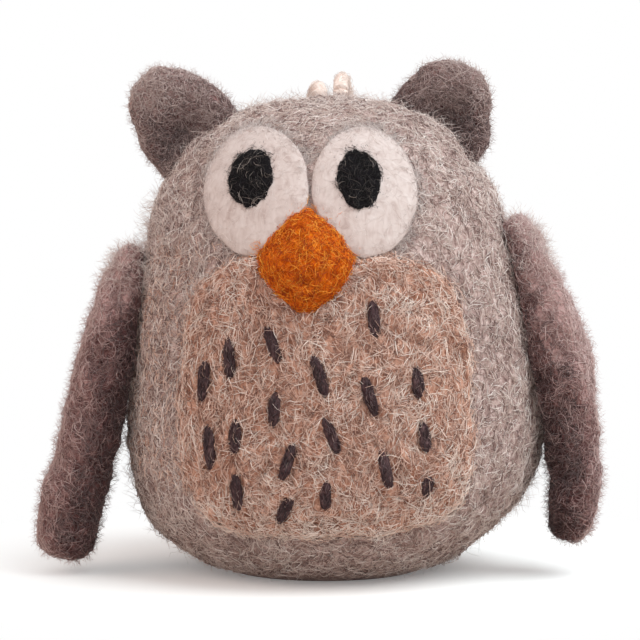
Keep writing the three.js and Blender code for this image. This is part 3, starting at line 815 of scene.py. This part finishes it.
# tone bias: patches of darker and lighter wool, as hand-carded wool has, the crown a little darker
def bodyMottle(points, normal):
    crown = smooth(points[..., 2], *bodyForm["crownFrom"])
    return lumpLayers(points, bodyForm["mottle"]) - bodyForm["crownDark"] * crown


# weight: what faces one side, or either side where side is 0, by at least so much
def facingSide(side, least):
    def weight(points, normal):
        facing = side * normal[..., 0] if side else np.abs(normal[..., 0])
        return np.where(facing >= least, 1.0, 0.0)
    return weight


# fibres on the body: the band of rising angles that they root in, how many, and seeds
wholeBody = (-bodyForm["lowest"], bodyForm["highest"])
aboveBase = (-bodyForm["lowest"] + 0.1, bodyForm["highest"])
quarterFibres = {**matted, "count": 6100, "seeds": (40, 50)}
bodyCoats = {
    "body_fuzz_loops": {**flyaway, "spans": (fullTurn, wholeBody), "count": 2000, "seeds": (44, 54)},
    "body_halo": {**halo, "spans": (fullTurn, aboveBase), "count": 8300, "seeds": (45, 55)},
    "body_flecks": {**flecks, "spans": (fullTurn, aboveBase), "count": 3200, "seeds": (47, 57)},
    "body_stray_hairs": {**strays, "spans": (fullTurn, (-0.3, 1.3)), "count": 110, "seeds": (46, 56),
                         "tries": 20},
}
for part in range(4):
    span = (part * np.pi / 2, (part + 1) * np.pi / 2)
    coat(f"body_fibres_{part + 1}", bodyFelt, {**quarterFibres, "spans": (span, wholeBody)}, greyHair,
         bareBody, bodyFlow, bodyMottle, part)
for name, style in bodyCoats.items():
    coat(name, bodyFelt, style, greyHair, bareBody)

# longer hairs on some bands, where the felt is less pressed
longHairs = {**halo, "knots": 6, "radius": (0.018, 0.03), "seeds": (130, 140), "tries": 10}
longPlaces = {
    "flank": {"count": 420, "band": (-bodyForm["lowest"] + 0.1, -0.05), "side": 0.0, "facing": 0.7,
              "length": (2.0, 5.0), "lift": (0.8, 3.2)},
    "left_shoulder": {"count": 1000, "band": (0.45, 0.75), "side": -1.0, "facing": 0.55,
                      "length": (2.0, 4.4), "lift": (0.8, 3.6)},
    "right_shoulder": {"count": 350, "band": (0.58, 0.9), "side": 1.0, "facing": 0.55,
                       "length": (1.5, 3.2), "lift": (0.4, 1.6)},
    "crown": {"count": 1300, "band": (0.93, bodyForm["highest"]), "side": 0.0, "facing": 0.0,
              "length": (2.0, 4.8), "lift": (0.6, 2.6)},
}
for number, (place, hairs) in enumerate(longPlaces.items()):
    style = {**longHairs, **hairs, "spans": (fullTurn, hairs["band"])}
    facing = facingSide(hairs["side"], hairs["facing"])
    coat(f"body_{place}_hairs", bodyFelt, style, greyHair, facing, number=number)
print("body felted")

# stitches: across and up the belly as shares of its half sizes, length, lean in degrees
stitchYarn = {
    "groove": 0.26, "grooveWide": 0.22, "plySwing": 0.5, "plyTurn": 1.1, "clear": 1.8,
    "form": {"width": 1.75, "power": 2.2, "seat": 1.25, "stand": 1.0, "dome": 2.2, "wobble": 0.03,
             "around": 36, "rows": 12, "sunk": 0.2},
    "places": [
        (0.33, 0.56, 5.8, 3), (-0.36, 0.38, 5.8, 19), (-0.66, 0.27, 6.1, 3), (-0.84, 0.1, 6.1, -6),
        (-0.04, 0.17, 6.5, 17), (0.3, 0.03, 6.8, 17), (0.63, 0.11, 4.6, 6), (-0.35, -0.07, 5.4, -5),
        (0.04, -0.25, 5.6, 23), (-0.62, -0.27, 5.3, -2), (-0.8, -0.37, 6.8, 3), (0.68, -0.28, 4.5, 8),
        (-0.26, -0.44, 5.9, -18), (0.41, -0.49, 6.4, 13), (-0.61, -0.68, 5.7, 5), (0, -0.68, 4.3, -4),
        (0.7, -0.63, 3.3, -10), (-0.28, -0.79, 4.2, -23),
    ],
}
stitchForms = [
    {**stitchYarn["form"], "x": bellyForm["x"] + acrossShare * bellyForm["width"] / 2,
     "z": bellyForm["z"] + upShare * bellyForm["tall"] / 2, "tall": length, "tilt": -lean, "seed": number}
    for number, (acrossShare, upShare, length, lean) in enumerate(stitchYarn["places"], 1)]

# belly
beigeLook = {
    **feltLook, "curl": 380.0, "fine": 1700.0, "long": 260.0, "mottle": 150.0, "pits": 800.0,
    "relief": 0.0005,
    "stops": [(0.0, (100, 62, 48)), (0.4, (164, 118, 99)), (0.75, (208, 165, 146)), (1.0, (230, 200, 185))],
}
beigeWool = feltMaterial("beigeWool", beigeLook)
beigeFibre = fibreMaterial("beigeFibre", [
    (112, 70, 58), (190, 146, 128), (217, 179, 162), (230, 199, 185), (239, 217, 206), (249, 238, 231)], 0.2)
beigeHair = (beigeFibre, "beige_wool")
# the low and right tone entries are painted light on the belly's fibres: lighter low down and to the right
bellyWool = {
    "ridge": 0.16, "ridgeBeat": 34, "ridgeFrom": (0.75, 0.9), "ridgeTo": (0.96, 1.0),
    "lumps": [(0.16, 0.6, 2.6, 61), (0.1, 0.5, 1.1, 62)],  # height, squeeze upwards, length, seed
    "rimFrom": 0.86, "uprightFlow": (5.0, 0.8, 63),
    "lowPaintedLight": (0.4, 9, 20), "rightPaintedLight": (0.1, 5, 20), "tone": 0.07,  # amount, then where it fades
    "warmLeft": (12, 22), "warmFront": (-4, 8), "warmFoot": (14, 24), "warmTop": (42, 54),
}


# ridges that run along the edge, and lumps drawn out upwards
def bellyRelief(points, share):
    relief = bellyWool["ridge"] * np.sin(share * bellyWool["ridgeBeat"])
    relief = relief * smooth(share, *bellyWool["ridgeFrom"]) * (1 - smooth(share, *bellyWool["ridgeTo"]))
    for height, squeeze, size, seed in bellyWool["lumps"]:
        relief = relief + height * lumps(points * (1, 1, squeeze), size, seed)
    return relief


# flow: round the patch on its rim, about upright inside
def bellyFlow(points):
    around = outOf(bellyForm)(points) + np.pi / 2
    upright = np.pi / 2 + lumpLayers(points, [bellyWool["uprightFlow"]])
    return np.where(shareAt(bellyForm, points) > bellyWool["rimFrom"], around, upright)


# tone bias: painted light, lighter low down as floor bounce light and lighter to the right as the light from
# that side, over wool mottled all over
def bellyMottleAndPaintedLight(points, normal):
    lowAmount, lowFrom, lowTo = bellyWool["lowPaintedLight"]
    rightAmount, rightFrom, rightTo = bellyWool["rightPaintedLight"]
    low, right = 1 - smooth(points[..., 2], lowFrom, lowTo), smooth(points[..., 0], rightFrom, rightTo)
    return bodyMottle(points, normal) + lowAmount * low + rightAmount * right + bellyWool["tone"]


# weight: the bare coat left of the belly
def warmSide(points, normal):
    x, y, z = (points[..., axis] for axis in range(3))
    beside = smooth(-x, *bellyWool["warmLeft"]) * smooth(-y, *bellyWool["warmFront"])
    foot, top = smooth(z, *bellyWool["warmFoot"]), 1 - smooth(z, *bellyWool["warmTop"])
    return bareBody(points, normal) * beside * foot * top


belly, bellySurface = patchMesh("belly_felt", bellyForm, bellyRelief)
dress(belly, beigeWool, "beige_wool", "owl_body", ["belly_patch"], 0.7)
facePatches = [patchForms[key] for key in ("left_eye", "right_eye", "beak")]
besideStitches = facePatches + [{**form, "width": stitchYarn["clear"]} for form in stitchForms]
bellyFibres = {
    **matted, "length": (2.4, 5.2), "lift": (0.0, 0.45), "spread": 0.75, "bend": 0.8, "wriggle": 0.25,
    "ripple": 0.16, "tones": [4, 4, 5, 5, 5, 3], "count": 7600, "seeds": (64, 65),
}
bellyFlecks = {**flecks, "count": 2000, "seeds": (60, 59)}
bellyFuzz = {**flyaway, "lift": (0.5, 1.35), "spread": 0.8, "count": 700, "seeds": (66, 67)}
warmStrands = {
    **matted, "spans": ((np.pi, 1.6 * np.pi), (-bodyForm["lowest"], 0.9)), "count": 1400, "seeds": (61, 62)}
coat("belly_fibres", bellySurface, onPatch(bellyForm, bellyFibres), beigeHair,
     inPatch(bellyForm, 1.02, besideStitches), bellyFlow, bellyMottleAndPaintedLight)
coat("belly_flecks", bellySurface, onPatch(bellyForm, bellyFlecks), beigeHair,
     inPatch(bellyForm, 0.98, besideStitches))
coat("belly_fuzz", bellySurface, onPatch(bellyForm, bellyFuzz), beigeHair,
     inPatch(bellyForm, 1.0, facePatches), bellyFlow)
coat("body_warm_strands", bodyFelt, warmStrands, beigeHair, warmSide, bodyFlow)  # felted into the coat
print("belly felted")

# stitches of dark yarn
plumLook = {
    **yarnLook, "curl": 700.0, "sway": 0.0015, "mottle": 400.0, "sheen": 0.15,
    "stops": [(0.0, (32, 21, 24)), (0.5, (64, 45, 48)), (1.0, (108, 86, 87))],
}
darkYarn = feltMaterial("darkYarn", plumLook)
stitchStrands = {
    **matted, "length": (1.0, 2.8), "radius": (0.03, 0.05), "lift": (0.0, 0.2), "ripple": 0.05, "dive": 0.15,
    "bend": 0.8, "spread": 0.35, "tones": [5, 6, 3, 0.6], "count": 1100, "seeds": (85, 86), "tries": 30,
}


# two plies: a groove that crosses the stitch in a wave, as the yarn twists
def plyGroove(form):
    def groove(points, share):
        across, up = patchSpot(form, points[..., 0], points[..., 2])
        away = across - stitchYarn["plySwing"] * np.sin(up * stitchYarn["plyTurn"] + form["seed"])
        return -stitchYarn["groove"] * np.exp(-(away / stitchYarn["grooveWide"]) ** 2) * (1 - share)
    return groove


# each spot's share of every stitch, the stitches along the last axis
def stitchShares(x, z):
    return np.stack([patchShare(form, x, z) for form in stitchForms], -1)


# the belly's face with the stitches standing on it
def stitchedSurface(x, z):
    form = stitchYarn["form"]
    share = np.clip(stitchShares(x, z).min(-1), 0, 1)
    points = frontGround(x, z)
    points[..., 1] -= form["seat"] + form["stand"] * (1 - share ** form["dome"]) ** (1 / form["dome"])
    return points


# weight: on the stitches and just past their edges
def onStitches(points, normal):
    return np.where(stitchShares(points[..., 0], points[..., 2]).min(-1) < 1.02, 1.0, 0.0)


# flow: along the nearest stitch
def alongStitch(points):
    nearest = stitchShares(points[..., 0], points[..., 2]).argmin(-1)
    return np.pi / 2 - np.radians(np.array([form["tilt"] for form in stitchForms]))[nearest]


for number, form in enumerate(stitchForms, 1):
    stitch = patchMesh(f"belly_stitch_yarn_{number:02d}", form, plyGroove(form))[0]
    dress(stitch, darkYarn, "dark_yarn", "owl_body", [f"belly_stitch_{number:02d}"])
plumFibre = fibreMaterial("plumFibre", [(30, 20, 24), (62, 46, 50), (104, 84, 88), (176, 150, 142)], 0.1)
coat("belly_stitch_strands", stitchedSurface, onPatch(bellyForm, stitchStrands), (plumFibre, "dark_yarn"),
     onStitches, alongStitch)
print("stitches sewn")

# eyes and pupils
whiteLook = {
    **feltLook, "curl": 300.0, "fine": 1500.0, "long": 240.0, "mottle": 160.0, "pits": 700.0,
    "relief": 0.00001, "sheen": 0.15,
    "stops": [(0.0, (175, 156, 151)), (0.45, (198, 183, 179)), (1.0, (211, 199, 196))],
}
blackLook = {
    **feltLook, "curl": 400.0, "fine": 1800.0, "long": 320.0, "mottle": 260.0, "pits": 1000.0, "sheen": 0.05,
    "stops": [(0.0, (7, 5, 8)), (0.6, (16, 12, 16)), (1.0, (36, 29, 34))],
}
whiteWool, blackWool = feltMaterial("whiteWool", whiteLook), feltMaterial("blackWool", blackLook)
whiteFibre = fibreMaterial("whiteFibre", [(198, 182, 178), (212, 198, 195), (228, 218, 215)], 0.15)
blackFibre = fibreMaterial("blackFibre", [(10, 8, 10), (26, 21, 24), (200, 186, 178)], 0.05)
whiteHair, blackHair = (whiteFibre, "white_wool"), (blackFibre, "black_wool")
eyeFibres = {
    **matted, "length": (2.0, 4.5), "radius": (0.012, 0.022), "lift": (0.12, 0.4), "ripple": 0.02,
    "dive": 0.1, "spread": 0.9, "bend": 1.2, "tones": [0, 2, 5], "count": 170, "seeds": (74, 76),
}
eyeRim = {**rimHairs, "tones": [1, 4, 5], "count": 2200, "seeds": (70, 68)}
pupilFibres = {
    **eyeFibres, "knots": 7, "length": (1.5, 3.5), "radius": (0.025, 0.045), "lift": (0.0, 0.3), "bend": 2.0,
    "count": 330, "seeds": (78, 80),
}
pupilRim = {
    **rimHairs, "length": (0.4, 1.1), "lift": (0.0, 0.3), "tones": [6, 4, 0], "count": 420, "seeds": (87, 89)}
palePupil = {"left": 1.6, "right": 0.3}  # pale strands on each pupil, against 10 dark ones
for number, (side, paleStrands) in enumerate(palePupil.items()):
    eyeForm, pupilForm = patchForms[side + "_eye"], patchForms[side + "_pupil"]
    eye, eyeSurface = patchMesh(side + "_eye_felt", eyeForm)
    dress(eye, whiteWool, "white_wool", "owl_body", [side + "_eye_disc"], 0.8)
    coat(side + "_eye_fibres", eyeSurface, onPatch(eyeForm, eyeFibres), whiteHair,
         inPatch(eyeForm, 0.97, [pupilForm, beakForm]), bellyFlow, number=number)
    coat(side + "_eye_fuzz", eyeSurface, onPatch(eyeForm, eyeRim), whiteHair,
         onRim(eyeForm, 0.07), outOf(eyeForm), number=number)
    pupil, pupilSurface = patchMesh(side + "_pupil_felt", pupilForm)
    dress(pupil, blackWool, "black_wool", "owl_body", [side + "_pupil"])
    strands = {**pupilFibres, "tones": [6, 4, paleStrands]}
    coat(side + "_pupil_fibres", pupilSurface, onPatch(pupilForm, strands), blackHair,
         inPatch(pupilForm, 1.0), number=number)
    coat(side + "_pupil_fuzz", pupilSurface, onPatch(pupilForm, pupilRim), blackHair,
         onRim(pupilForm, 0.1), outOf(pupilForm), number=number)
print("eyes felted")

# beak
orangeLook = {
    **feltLook, "fine": 1800.0, "long": 320.0, "mottle": 200.0, "sheen": 0.1,
    "stops": [(0.0, (112, 36, 0)), (0.45, (197, 87, 0)), (1.0, (240, 148, 28))],
}
orangeWool = feltMaterial("orangeWool", orangeLook)
orangeFibre = fibreMaterial("orangeFibre", [(144, 46, 0), (207, 89, 0), (234, 124, 6), (252, 185, 74)], 0.05)
orangeHair = (orangeFibre, "orange_wool")
beakFibres = {
    **matted, "knots": 6, "length": (1.8, 4.5), "radius": (0.03, 0.055), "lift": (0.0, 0.36),
    "tones": [5, 5, 5, 4], "count": 1900, "seeds": (83, 84),
}
beakRim = {**rimHairs, "tones": [0, 4, 6, 5], "count": 1500, "seeds": (121, 122)}
beak, beakSurface = patchMesh("beak_felt", beakForm)
dress(beak, orangeWool, "orange_wool", "owl_body", ["beak"], 0.9)
coat("beak_fibres", beakSurface, onPatch(beakForm, beakFibres), orangeHair, inPatch(beakForm, 1.0))
coat("beak_fuzz", beakSurface, onPatch(beakForm, beakRim), orangeHair, onRim(beakForm, 0.09), outOf(beakForm))
print("beak felted")

# ears: superellipsoid lobes, widest just under the head's skin, hollowed in front towards their root
# the light, tip and root entries paint light and shade into the ear's tone: lighter outward and towards the
# tip, painted shade in front and at the root
earForm = {
    "thick": 7.8, "seat": 2.0, "power": 2.15, "dish": 3.2, "dishRise": 3.6, "dishWide": 4.8, "dishTall": 4.4,
    "around": 96, "rows": 60, "lowest": -0.35, "lumps": [(6.0, 0.22, 91), (2.4, 0.08, 92)],
    "bareShare": 0.98, "paintedLight": (0.25, 0.0), "tipBand": (-1, 9), "tipPaintedLight": 0.6, "rootPaintedShade": 0.4,
}
# pale shifts the whole tone of each ear, under its painted light and shade
earPlaces = {
    "left": {"side": -1, "drop": 6.2, "width": 15.0, "height": 12.6, "tilt": -40.0,
             "pale": 0.36, "sink": 0.0},
    "right": {"side": 1, "drop": 3.8, "width": 16.2, "height": 10.1, "tilt": 19.0,
              "pale": 0.26, "sink": 0.35},
}
taupeLook = {
    **feltLook,
    "stops": [(0.0, (44, 27, 29)), (0.4, (93, 64, 64)), (0.75, (132, 98, 96)), (1.0, (176, 143, 140))],
}
taupeWool = feltMaterial("taupeWool", taupeLook)
taupeFibre = fibreMaterial("taupeFibre", [
    (61, 40, 42), (96, 66, 66), (128, 93, 91), (157, 121, 118), (186, 153, 149), (214, 190, 187)], 0.3)
earFibre = fibreMaterial("earFibre", [
    (57, 40, 41), (89, 66, 65), (119, 93, 91), (148, 122, 118), (178, 153, 149), (209, 191, 187)], 0.3)
earHair, wingHair = (earFibre, "taupe_wool"), (taupeFibre, "taupe_wool")
flapFibres = {
    **matted, "length": (2.4, 5.6), "lift": (0.0, 0.45), "bend": 2.2, "tones": [4, 5, 6, 5, 4, 3]}
flapHalo = {
    **halo, "length": (1.0, 2.6), "radius": (0.016, 0.028), "lift": (0.4, 1.9), "tones": [0, 0, 2, 5, 7, 6]}
earCoats = {  # each style's painted light and shade: how much tone follows the side that a fibre faces, and a shift
    "fibres": {**flapFibres, "spans": (fullTurn, (-0.3, 1.5)), "count": 2600, "seeds": (93, 95),
               "paintedLight": (0.45, 0.0)},
    "halo": {**flapHalo, "spans": (fullTurn, (-0.3, 1.5)), "count": 2900, "seeds": (97, 99),
             "paintedLight": (0.4, 0.1)},
    "stray_hairs": {**strays, "spans": (fullTurn, (0.0, 1.2)), "reach": 0.7, "count": 16,
                    "seeds": (115, 117), "tries": 40},
}


# lobe: superellipse rings by a rising angle, a round hollow pressed into the front, leant out and lumpy
def earSurface(place):
    tall = place["height"] + earForm["seat"]
    lean = np.radians(place["tilt"])
    rootZ = bodyForm["height"] - place["drop"]
    rootX = float(bodyDrift(rootZ) + place["side"] * bodyHalf(rootZ))

    def surface(turn, rise):
        wide = np.clip(np.cos(rise), 0, 1) ** (2 / earForm["power"])
        x = place["width"] / 2 * wide * np.cos(turn)
        y = earForm["thick"] / 2 * wide * np.sin(turn)
        z = tall * squared(np.sin(rise), earForm["power"])
        dishUp = (z - earForm["dishRise"]) / earForm["dishTall"]
        hollow = np.exp(-(x / earForm["dishWide"]) ** 2 - dishUp**2)
        y = y + earForm["dish"] * hollow * np.clip(-y / (earForm["thick"] / 2), 0, 1)
        z = z - earForm["seat"]
        points = np.stack([rootX + x * np.cos(lean) + z * np.sin(lean), y,
                           rootZ - x * np.sin(lean) + z * np.cos(lean)], -1)
        away = unit(points - (rootX, 0, rootZ))
        return points + away * (lumpLayers(points, earForm["lumps"]) - place["sink"])[..., None]
    return surface


# tone bias of painted light and shade: lighter on what faces away from the owl's middle, where light falls,
# painted shade in front and on the side towards the body
def paintedOuterLight(side, amount, shift):
    def paintedLight(points, normal):
        return amount * (np.minimum(side * normal[..., 0], 0.5) + 0.3 * normal[..., 1]) + shift
    return paintedLight


# the same painted light on an ear, lighter towards its tip, with painted shade at its root where it meets the
# head
def earPaintedLight(place, amount, shift):
    outer = paintedOuterLight(place["side"], amount, place["pale"] + shift)
    root = bodyForm["height"] - place["drop"]
    low, high = root + earForm["tipBand"][0], root + earForm["tipBand"][1]

    def paintedLight(points, normal):
        tip = earForm["tipPaintedLight"] * smooth(points[..., 2], low, high)
        return outer(points, normal) + tip - earForm["rootPaintedShade"]
    return paintedLight


# the same painted light on a wing, lighter towards the shoulder where light falls, darker lower down as
# painted shade
def wingPaintedLight(place, amount, shift):
    low, high, atTip, atRoot = place["pale"]
    outer = paintedOuterLight(place["side"], amount, shift + atTip)
    return lambda points, normal: outer(points, normal) + (atRoot - atTip) * smooth(points[..., 2], low, high)


earRises = np.linspace(earForm["lowest"], np.pi / 2, earForm["rows"] + 1)[:-1]
earBare = outsideBody(earForm["bareShare"])
for number, (side, place) in enumerate(earPlaces.items()):
    surface = earSurface(place)
    ear = skinOver(side + "_ear_felt", surface, earForm["around"], earRises)
    # painted light and shade put into the ear felt's tone
    paint(ear, earPaintedLight(place, *earForm["paintedLight"]))
    dress(ear, taupeWool, "taupe_wool", "owl_body", [side + "_ear"], 0.9)
    for kind, style in earCoats.items():
        # the ear's fibres take painted light and shade as a tone bias
        bias = earPaintedLight(place, *style["paintedLight"]) if "paintedLight" in style else None
        coat(f"{side}_ear_{kind}", surface, style, earHair, earBare, None, bias, number)
print("ears felted")

# wings: flaps along a bent spine, pressed against the body at the shoulder; shoulder, elbow and tip are
# heights and how far they stand off, pale is a band of heights with a shift of painted light below it and one
# above it, lighter towards the shoulder, pivot and free are where the bend starts and ends, in metres
# the light entry of the wing felt paints light and shade into its tone
wingForm = {
    "power": 2.4, "topPower": 5.0, "deepPower": 4.0, "rootShare": 0.7, "rootEnd": 0.42, "taper": (0.3, 0.7),
    "gap": 0.1, "around": 72, "rows": 120, "lumps": [(7.0, 0.26, 101), (2.6, 0.07, 102)],
    "sink": 0.4, "bareShare": 1.02, "paintedLight": (0.4, 0.0),  # sink is room for the fibres inside the CAD skin
}
wingPlaces = {
    "left": {"side": -1, "forward": 5.0, "shoulder": (50.5, 1.9), "elbow": (30.0, 3.6), "tip": (2.8, 10.3),
             "tipPower": 7.0, "thick": 9.3, "tipThick": 9.5, "depth": 16.0,
             "pale": (33.0, 50.0, 0.05, 0.65),
             "pivot": (-0.0312, -0.005, 0.0507), "free": (-0.0333, -0.005, 0.0375)},
    "right": {"side": 1, "forward": 7.0, "shoulder": (55.0, 1.3), "elbow": (26.0, 6.9), "tip": (5.6, 3.5),
              "tipPower": 3.6, "thick": 10.0, "tipThick": 8.0, "depth": 15.4,
              "pale": (15.0, 50.0, -0.06, 0.72),
              "pivot": (0.0307, -0.007, 0.0555), "free": (0.0356, -0.007, 0.0429)},
}
# each coat's light entry paints light and shade into its fibres' tone
wingCoats = {
    "fibres": {**flapFibres, "spans": (fullTurn, (0.03, 0.97)), "count": 4800, "seeds": (103, 105),
               "paintedLight": (0.8, -0.06)},
    "halo": {**flapHalo, "spans": (fullTurn, (0.01, 0.99)), "count": 5400, "seeds": (107, 109),
             "paintedLight": (0.5, 0.1)},
    "stray_hairs": {**strays, "spans": (fullTurn, (0.1, 0.9)), "count": 26, "seeds": (119, 123), "tries": 40},
    # longer hairs of the body's wool where the shoulder runs into the body
    "tuft": {**flapHalo, "spans": (fullTurn, (0.01, 0.24)), "knots": 6, "length": (1.2, 3.2),
             "lift": (0.6, 2.8), "count": 420, "seeds": (111, 113), "wool": (greyFibre, "taupe_wool")},
}


# loft along a curve from shoulder by elbow to tip, rings swelling from the root and closing at the ends
def wingSurface(place):
    side = place["side"]
    shoulder, standOff = place["shoulder"]
    half = float(bodyHalf(shoulder))
    aside = np.sqrt(1 - (place["forward"] * bodyForm["width"] / (half * bodyForm["depth"])) ** 2)
    startX = float(bodyDrift(shoulder)) + side * (half * aside + standOff)
    a = np.array([startX, -place["forward"], shoulder])
    b, c = (
        np.array([bodyForm["hipDrift"] + side * (bodyForm["width"] / 2 + away), -place["forward"], height])
        for height, away in (place["elbow"], place["tip"]))

    def surface(turn, along):
        share = (1 - np.cos(np.pi * np.clip(along, 0, 1))) / 2
        t = share[..., None]
        spine = (1 - t) ** 2 * a + 2 * t * (1 - t) * b + t**2 * c
        way = unit((1 - t) * (b - a) + t * (c - b))
        out = np.stack([-way[..., 2], 0 * share, way[..., 0]], -1)
        power = np.where(share < 0.5, wingForm["topPower"], place["tipPower"])
        end = (1 - np.abs(2 * share - 1) ** power) ** (1 / power)
        deepPower = np.minimum(power, wingForm["deepPower"])
        deepEnd = (1 - np.abs(2 * share - 1) ** deepPower) ** (1 / deepPower)
        root = wingForm["rootShare"]
        swell = end * (root + (1 - root) * smooth(share, 0, wingForm["rootEnd"]))
        thick = place["thick"] + (place["tipThick"] - place["thick"]) * smooth(share, *wingForm["taper"])
        outward = thick / 2 * swell * squared(np.cos(turn), wingForm["power"])
        points = spine + out * outward[..., None]
        deepSwell = place["depth"] / 2 * swell * deepEnd / np.maximum(end, 1e-3)
        points[..., 1] -= deepSwell * squared(np.sin(turn), wingForm["power"])
        relief = lumpLayers(points, wingForm["lumps"]) - wingForm["sink"]
        points = points + unit(points - spine) * (relief * np.minimum(1, 3 * end))[..., None]
        inside = np.clip(bodyShare(points, wingForm["gap"]), 0.3, 1)
        middle = bodyDrift(points[..., 2])
        points[..., 0] = middle + (points[..., 0] - middle) / inside
        points[..., 1] = points[..., 1] / inside
        return points
    return surface


wingRows = np.linspace(0, 1, wingForm["rows"] + 2)[1:-1]
wingBare = outsideBody(wingForm["bareShare"])
for number, (side, place) in enumerate(wingPlaces.items()):
    surface = wingSurface(place)
    flap, bend = side + "_wing_flap", (place["pivot"], place["free"])
    wing = skinOver(side + "_wing_felt", surface, wingForm["around"], wingRows)
    # painted light and shade put into the wing felt's tone
    paint(wing, wingPaintedLight(place, *wingForm["paintedLight"]))
    dress(wing, taupeWool, "taupe_wool", flap, [side + "_wing"], 0.8, bend)
    for kind, style in wingCoats.items():
        # the wing's fibres take painted light and shade as a tone bias
        bias = wingPaintedLight(place, *style["paintedLight"]) if "paintedLight" in style else None
        wool = style.get("wool", wingHair)
        coat(f"{side}_wing_{kind}", surface, style, wool, wingBare, None, bias, number, flap, bend)
print("wings felted")

# pieces inside the felt keep their CAD shape
undyedLook = {
    **whiteLook,
    "stops": [(0.0, (196, 186, 168)), (0.5, (226, 218, 204)), (1.0, (240, 235, 226))],
}
undyedWool = feltMaterial("undyedWool", undyedLook)
for node, material in (("wool_core", undyedWool), ("loop_knot", creamYarn)):
    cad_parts[node].data.materials.clear()
    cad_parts[node].data.materials.append(material)

# floor, white to the camera far from the owl, and lamps
stageSet = {
    "size": 16.0, "floor": tone(252, 252, 252), "bounce": tone(204, 190, 180), "glow": tone(110, 110, 110),
    "fadeFrom": 0.03, "fadeTo": 0.07, "ambient": 0.66, "aim": (0, 0, 0.035),
}
floorMesh = bpy.data.meshes.new("floor")
edge = stageSet["size"] / 2
floorCorners = [(-edge, -edge, 0), (edge, -edge, 0), (edge, edge, 0), (-edge, edge, 0)]
floorMesh.from_pydata(floorCorners, [], [(0, 1, 2, 3)])
floor = bpy.data.objects.new("floor", floorMesh)
bpy.context.scene.collection.objects.link(floor)
floorMaterial, make, shader = newMaterial("floorPaper")
setSockets(shader, {"Roughness": 1.0, "Specular IOR Level": 0.0, "Emission Strength": 1.0})
place = make.node("TexCoord", out=3)
away = make.node("VectorMath", {"operation": "LENGTH"}, {0: place}, 1)
fade = make.node("MapRange", {"interpolation_type": "SMOOTHSTEP"},
                 {"Value": away, "From Min": stageSet["fadeFrom"], "From Max": stageSet["fadeTo"]})
seen = make.node("LightPath", None, None, 0)
mirrored = make.node("LightPath", None, None, 3)
seen = make.maths("MAXIMUM", seen, mirrored)
paper = make.node("Mix", {"data_type": "RGBA"}, {0: seen, 6: stageSet["bounce"], 7: stageSet["floor"]}, 2)
glow = make.node("Mix", {"data_type": "RGBA"}, {0: seen, 6: (0, 0, 0, 1), 7: stageSet["glow"]}, 2)
make.tree.links.new(paper.socket, shader.inputs["Base Color"])
make.tree.links.new(glow.socket, shader.inputs["Emission Color"])
white = make.node("Emission", None, {"Color": (1, 1, 1, 1), "Strength": 1.0})
factor = fade * seen
mixed = make.node("MixShader", None, {0: factor, 1: Shade(make.tree, shader.outputs[0]), 2: white})
output = next(node for node in make.tree.nodes if node.type == "OUTPUT_MATERIAL")
make.tree.links.new(mixed.socket, output.inputs["Surface"])
floorMesh.materials.append(floorMaterial)

world = bpy.data.worlds.new("studio")
bpy.context.scene.world = world
world.use_nodes = True
make = Shade(world.node_tree)
world.node_tree.nodes.clear()
seen = make.node("LightPath", None, None, 0)
soft = make.node("Background", None, {"Color": (1.0, 0.99, 0.98, 1), "Strength": stageSet["ambient"]})
bright = make.node("Background", None, {"Color": (1, 1, 1, 1), "Strength": 1.0})
mixed = make.node("MixShader", None, {0: seen, 1: soft, 2: bright})
make.node("OutputWorld", None, {"Surface": mixed})

lamps = {
    "key": {"at": (0.52, -0.22, 0.68), "size": 0.8, "power": 7.5, "colour": (0.9, 0.985, 1.0)},
    "front": {"at": (0.05, -0.85, 0.3), "size": 0.9, "power": 1.4, "colour": (1.0, 0.98, 0.97)},
    "fill": {"at": (-0.7, -0.3, 0.42), "size": 0.7, "power": 1.8, "colour": (1.0, 0.73, 0.6)},
}
for name, lamp in lamps.items():
    data = bpy.data.lights.new(name, "AREA")
    data.size = lamp["size"]
    data.energy = lamp["power"]
    data.color = lamp["colour"]
    made = bpy.data.objects.new(name, data)
    bpy.context.scene.collection.objects.link(made)
    made.location = lamp["at"]
    way = np.array(stageSet["aim"]) - np.array(lamp["at"])
    down = np.arctan2(np.hypot(way[0], way[1]), -way[2])
    made.rotation_euler = (down, 0, np.arctan2(way[1], way[0]) - np.pi / 2)
print("stage lit")

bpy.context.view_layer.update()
